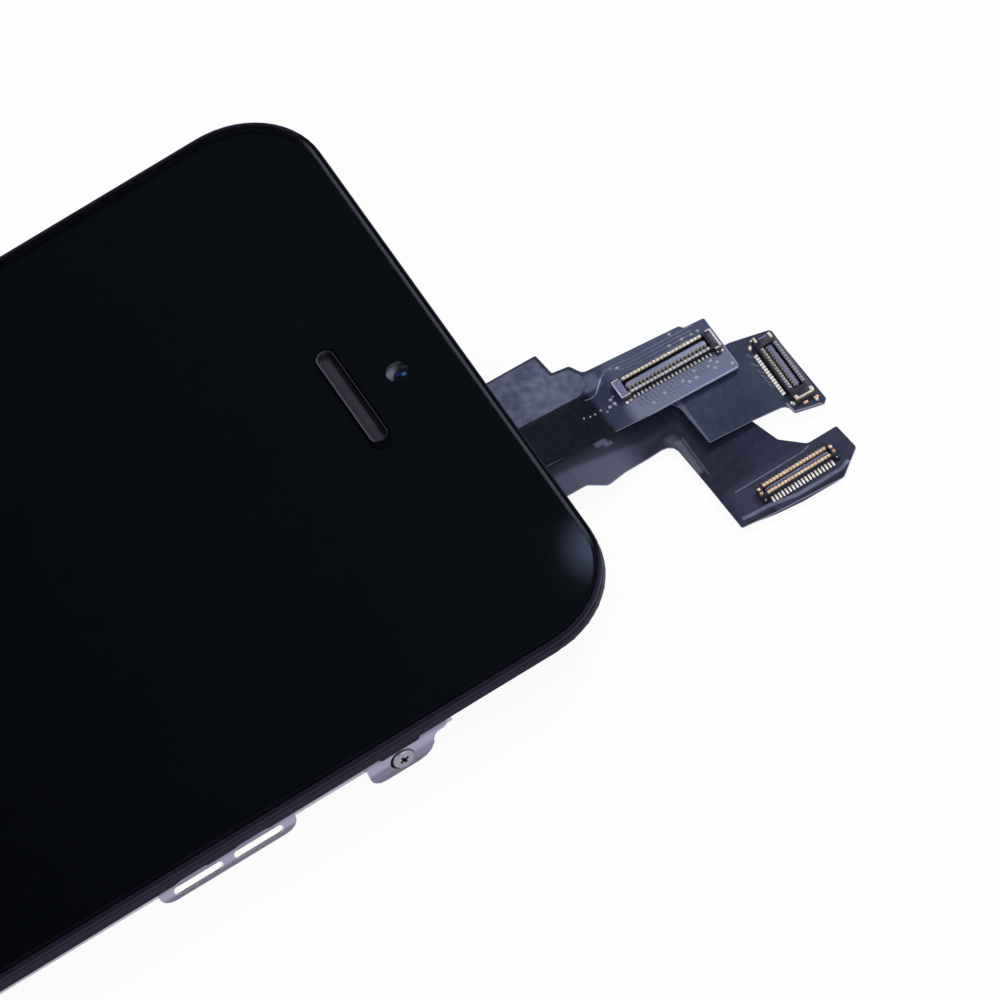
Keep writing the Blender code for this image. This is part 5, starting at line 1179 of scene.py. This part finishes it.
def board_connector(name, seat, size, tongue, contacts, rows, details, drops, housing):
    """One dressed connector, shaped at the origin with its length along Y, then set on its flex.

    rows gives for each long side the finish and place of its crests, the finish of its springs, and
    the finish, reach and share of the pitch of its tails. Springs that lie in shade down in the trough
    take the black trough plastic, as painted shade. details are finishes with their
    small_blocks. Sizes are in millimetres.
    """
    width, length, height = (value * MM for value in size)
    tongue_half, tongue_height, tongue_finish = tongue[0] * MM, tongue[1] * MM, tongue[2]
    count, pitch = contacts[0], contacts[1] * MM
    floor_z, crest_half = 0.13 * MM, 0.125 * MM
    end_wall = (length - (count + 1) * pitch) / 2
    wall = width / 2 - min(place for _, place, *_ in rows) * MM + crest_half
    bar = tongue_bar(name + "_tongue", tongue_half, length - 2 * end_wall - 0.9 * MM, tongue_height)
    pieces = [
        (trough(name + "_housing", width, length, height, wall, end_wall), housing, (name,)),
        (bar, tongue_finish, ()),
    ]
    for side, turn, (crests, place, springs, tails, reach, tail_share) in zip(
        ("near", "far"), (0.0, math.pi), rows
    ):
        crest_at, tail_from, tail_to = place * MM, reach[0] * MM, reach[1] * MM
        crest = [
            (crest_at - crest_half - 0.02 * MM, height - 0.12 * MM),
            (crest_at - crest_half, height - 0.01 * MM),
            (crest_at, height + 0.03 * MM),
            (crest_at + crest_half * 0.7, height + 0.01 * MM),
            (crest_at + crest_half, height - 0.05 * MM),
        ]
        spring_foot = min(tongue_half + 0.26 * MM, crest_at - crest_half - 0.06 * MM)
        spring = [
            (crest_at - crest_half - 0.04 * MM, floor_z),
            (spring_foot, floor_z),
            (spring_foot - 0.05 * MM, floor_z + 0.05 * MM),
            (tongue_half + 0.05 * MM, tongue_height - 0.03 * MM),
            (tongue_half - 0.05 * MM, tongue_height + 0.01 * MM),
        ]
        tail = [
            (tail_from, 0.11 * MM), (tail_from + 0.07 * MM, 0.12 * MM),
            (tail_to - 0.06 * MM, 0.07 * MM), (tail_to, 0.03 * MM),
        ]
        strips = (
            ("crests", crest, 0.88, 0.06 * MM, crests),
            ("springs", spring, 0.6, 0.03 * MM, springs),
            ("tails", tail, tail_share, 0.09 * MM, tails),
        )
        for kind, path, share, sheet, finish in strips:
            strip = round_edges(bent_strip(kind, path, pitch * share, sheet), sheet * 0.3)
            pieces.append((repeated(f"{name}_{side}_{kind}", strip, row(count, pitch, turn)), finish, ()))
    for index, (finish, boxes) in enumerate(details):
        pieces.append((small_blocks(f"{name}_clip_{index}", boxes), finish, ()))
    pieces.append((solder_bead(name + "_solder", drops), metal["bright_tin"], ()))
    for piece, finish, solids in pieces:
        fitted(placed(piece, seat), finish, "gold_contacts", *solids)


CONNECTOR_LIFT = 0.07 * MM


def seat_on_flex(x, beyond_top, plane, turn=0.0):
    """Where a connector stands on a flex: its place in millimetres, and its turn."""
    seat = Matrix.Translation((x * MM, beyond_top * MM, CONNECTOR_LIFT))
    return plane @ seat @ Matrix.Rotation(turn, 4, "Z")


display_housing = patterned(
    "display_housing", "grain", 7000.0, (0.01, 0.01, 0.02), (0.018, 0.018, 0.032), (0.4, 0.55),
    Specular_IOR_Level=0.3,
)
toned(
    display_housing,
    ((10.34 * MM, TOP_EDGE + 8.2 * MM), (0.72 * MM, 0.3 * MM), 0.08 * MM, 0.95, (0.15, 0.16, 0.29)),
    ((10.34 * MM, TOP_EDGE + 15.9 * MM), (0.5 * MM, 0.1 * MM), 0.1 * MM, 0.7, (0.05, 0.05, 0.1)),
)
board_connector(
    "display_connector", seat_on_flex(10.34, 11.96, flex_plane(DISPLAY_FLEX_Z)),
    (1.7, 8.2, 0.46), (0.24, 0.47, rich_tongue), (21, 0.322),
    rows=(
        (metal["grey_metal"], 0.7, metal["dark_gold"], metal["tail_tin"], (0.86, 1.1), 0.5),
        (metal["pale_gold"], 0.7, trough_plastic, metal["grey_gold"], (0.81, 1.0), 0.5),
    ),
    details=(
        (metal["clip_steel"], (
            (-0.9, 0.84, -4.2, -4.09, 0.05, 0.49), (-0.9, -0.79, -4.2, -3.6, 0.05, 0.49),
            (0.77, 0.88, -4.2, -3.4, 0.05, 0.49), (-0.92, 0.98, 4.09, 4.28, 0.05, 0.5),
            (-0.92, -0.77, 3.82, 4.28, 0.05, 0.5), (0.84, 1.02, 3.7, 4.28, 0.05, 0.44),
        )),
        (trough_plastic, ((1.0, 1.34, 3.6, 3.98, -0.01, 0.16),)),
        (metal["copper_pink"], ((0.98, 1.2, -3.75, -3.5, -0.01, 0.09),)),
    ),
    drops=[
        (1.16, 3.78, 0.09, 0.2), (1.1, -3.95, 0.14, 0.07),
        (1.12, 4.15, 0.12, 0.1),
    ],
    housing=display_housing,
)
board_connector(
    "touch_connector", seat_on_flex(15.28, 19.12, flex_plane(TOUCH_FLEX_Z), math.pi / 2),
    (1.7, 6.5, 0.46), (0.19, 0.42, tongue_plastic), (15, 0.298),
    rows=(
        (metal["dull_lavender"], 0.55, trough_plastic, metal["dull_lavender"], (0.74, 0.85), 0.6),
        (metal["grey_gold"], 0.6, metal["dark_gold"], metal["bright_tin"], (1.04, 1.32), 0.8),
    ),
    details=(
        (metal["pale_gold"], (
            (-0.74, -0.52, 2.9, 3.45, 0.05, 0.52), (0.42, 0.66, 2.66, 3.25, 0.05, 0.52),
            (-0.66, 0.7, -3.46, -3.24, 0.05, 0.5), (-0.8, -0.48, -3.46, -3.0, 0.05, 0.54),
            (0.5, 0.82, -3.44, -2.9, 0.05, 0.54),
        )),
        (tongue_plastic, ((-0.4, 0.34, 3.0, 3.2, 0.05, 0.48),)),
        (trough_plastic, ((-1.04, -0.84, -2.35, 2.35, -0.01, 0.12),)),
        (metal["copper_pink"], (
            (-0.4, 0.0, -3.86, -3.6, -0.01, 0.14), (0.46, 0.86, -3.9, -3.64, -0.01, 0.14),
        )),
    ),
    drops=[
        (-1.2, 2.98, 0.15, 0.14), (-1.12, 3.12, 0.14, 0.12),
        (-1.08, -3.18, 0.15, 0.14), (-0.98, -3.3, 0.13, 0.12),
        (0.62, -3.95, 0.14, 0.12), (-0.8, 3.6, 0.1, 0.08),
    ],
    housing=board_housing,
)
board_connector(
    "sensor_connector", seat_on_flex(24.0, 15.27, flex_plane(SENSOR_FLEX_Z, 0.0)),
    (1.12, 6.4, 0.5), (0.15, 0.42, tongue_plastic), (19, 0.285),
    rows=(
        (metal["rich_gold"], 0.39, trough_plastic, metal["bright_tin"], (0.6, 1.12), 0.6),
        (metal["rich_gold"], 0.39, trough_plastic, metal["dull_lavender"], (0.5, 0.9), 0.5),
    ),
    details=(
        (metal["rich_gold"], (
            (-0.38, -0.06, 2.92, 3.2, 0.05, 0.55), (-0.42, -0.1, -3.2, -2.95, 0.05, 0.53),
        )),
        (metal["copper_pink"], (
            (0.08, 0.4, 2.95, 3.2, 0.05, 0.54), (0.0, 0.32, -3.22, -2.95, 0.05, 0.53),
        )),
        (trough_plastic, ((0.42, 0.8, 2.9, 3.3, -0.01, 0.16), (0.42, 0.8, -3.3, -2.9, -0.01, 0.16))),
    ),
    drops=[
        (0.62, -3.05, 0.1, 0.2), (0.62, 3.05, 0.1, 0.2),
        (-0.62, -3.1, 0.11, 0.08),
    ],
    housing=board_housing,
)

# Home button.
# A dished plastic cap with nothing on its face, which slides on its stem against a dome switch.

clad(
    patterned("button_plastic", "grain", 9000.0, (0.008, 0.008, 0.01), (0.014, 0.014, 0.017), (0.18, 0.28)),
    "home_button",
)

# Studio.
# The assembly lies on a plain pale floor under soft lamps. A dark card hangs over the glass, as a
# photographer hangs one, so that the glass stays black.

FLOOR_Z = -4.76 * MM
bpy.ops.object.select_all(action="DESELECT")
bpy.ops.mesh.primitive_plane_add(size=8.0, location=(0.0, 0.0, FLOOR_Z))
floor = bpy.context.active_object
floor.name = "floor"
floor_paper = bpy.data.materials.new("floor_paper")
floor_paper.use_nodes = True
paper_tree = floor_paper.node_tree
paper_tree.nodes.remove(paper_tree.nodes["Principled BSDF"])
matt = node_in(paper_tree, "BsdfDiffuse", {"Color": (0.92, 0.92, 0.93, 1.0)})
shine = node_in(paper_tree, "Emission", {"Color": (1.0, 1.0, 1.0, 1.0), "Strength": 1.0})


def seen_directly(tree):
    """1 for what the camera sees, also by reflection or through glass."""
    rays = node_in(tree, "LightPath").outputs
    seen = rays["Is Camera Ray"]
    for kind in ("Is Glossy Ray", "Is Transmission Ray"):
        seen = node_in(tree, "Math", {0: seen, 1: rays[kind]}, operation="MAXIMUM").outputs[0]
    return seen


# The rest of the floor's light is what the lamps and the object's shadow leave on the paper.
GLOW_SHARE = 0.93
share = node_in(paper_tree, "Math", {0: seen_directly(paper_tree), 1: GLOW_SHARE}, operation="MULTIPLY")
blend = node_in(paper_tree, "MixShader", {"Fac": share.outputs[0], 1: matt.outputs[0], 2: shine.outputs[0]})
paper_tree.links.new(blend.outputs[0], paper_tree.nodes["Material Output"].inputs["Surface"])
floor.data.materials.append(floor_paper)

bpy.ops.object.select_all(action="DESELECT")
bpy.ops.mesh.primitive_plane_add(size=5.0, location=(-0.9, 0.2, 1.6))
card = bpy.context.active_object
card.name = "dark_card"
card_black = bpy.data.materials.new("card_black")
card_black.use_nodes = True
card_tree = card_black.node_tree
card_tree.nodes.remove(card_tree.nodes["Principled BSDF"])
card_place = node_in(card_tree, "TexCoord").outputs["Object"]
card_split = node_in(card_tree, "SeparateXYZ", {"Vector": card_place})
slope = {"Value": card_split.outputs["Y"], "From Min": -0.16, "From Max": 0.14}
rise = node_in(card_tree, "MapRange", slope)
card_colour = colour_steps(
    card_tree, rise.outputs["Result"], (0.0, 0.009, 0.014, 0.022), (1.0, 0.052, 0.065, 0.092)
)
# A soft spot on the card shows as the glow at the glass's corner.
SPOT_AT, SPOT_RADIUS = (-0.231, 0.0762, 0.0), 0.0142
apart = node_in(card_tree, "VectorMath", {0: card_place, 1: SPOT_AT}, operation="DISTANCE")
fade = {"Value": apart.outputs["Value"], "From Max": SPOT_RADIUS, "To Min": 1.0, "To Max": 0.0}
glow = node_in(card_tree, "MapRange", fade, interpolation_type="SMOOTHSTEP")
card_mix = node_in(card_tree, "Mix", data_type="RGBA")
card_tree.links.new(glow.outputs["Result"], card_mix.inputs[0])
card_tree.links.new(card_colour, card_mix.inputs[6])
card_mix.inputs[7].default_value = (0.9, 1.1, 1.85, 1.0)
card_light = node_in(card_tree, "Emission", {"Color": card_mix.outputs[2], "Strength": 1.0})
card_tree.links.new(card_light.outputs[0], card_tree.nodes["Material Output"].inputs["Surface"])
card.data.materials.append(card_black)
card.visible_camera = False
card.visible_diffuse = False
card.visible_shadow = False

world = bpy.data.worlds.new("studio")
bpy.context.scene.world = world
world.use_nodes = True
air = world.node_tree
soft = air.nodes["Background"]
soft.inputs["Color"].default_value = (0.97, 0.98, 1.0, 1.0)
soft.inputs["Strength"].default_value = 0.5
white = node_in(air, "Background", {"Color": (1.0, 1.0, 1.0, 1.0), "Strength": 1.0})
mixed = node_in(air, "MixShader", {"Fac": seen_directly(air), 1: soft.outputs[0], 2: white.outputs[0]})
air.links.new(mixed.outputs[0], air.nodes["World Output"].inputs["Surface"])

LAMPS = {
    "key": ((-0.7, 1.1, 1.1), 0.5, 15.0),
    "fill": ((0.5, -1.3, 1.0), 0.9, 4.0),
    "side": ((1.2, 0.5, 0.8), 0.8, 4.0),
}
for name, (where, size, power) in LAMPS.items():
    lamp = bpy.data.lights.new(name, "AREA")
    lamp.size = size
    lamp.energy = power
    stand = bpy.data.objects.new(name, lamp)
    bpy.context.scene.collection.objects.link(stand)
    stand.location = where
    stand.rotation_euler = (-Vector(where)).to_track_quat("-Z", "Y").to_euler()

CAMERA_SEAT = Vector((0.53084, -0.03289, 0.70367))
camera_data = bpy.data.cameras.new("camera")
camera_data.lens = 432.0
camera_data.sensor_width = 36.0
camera_data.clip_start = 0.01
camera_data.clip_end = 20.0
camera = bpy.data.objects.new("camera", camera_data)
bpy.context.scene.collection.objects.link(camera)
right = Vector((0.46932, 0.85107, -0.2354))
up = Vector((-0.65878, 0.51498, 0.54846))
back = Vector((0.58801, -0.10233, 0.80236))
camera.matrix_world = Matrix.Translation(CAMERA_SEAT) @ Matrix((right, up, back)).transposed().to_4x4()
bpy.context.scene.camera = camera
bpy.context.scene.view_settings.view_transform = "Standard"
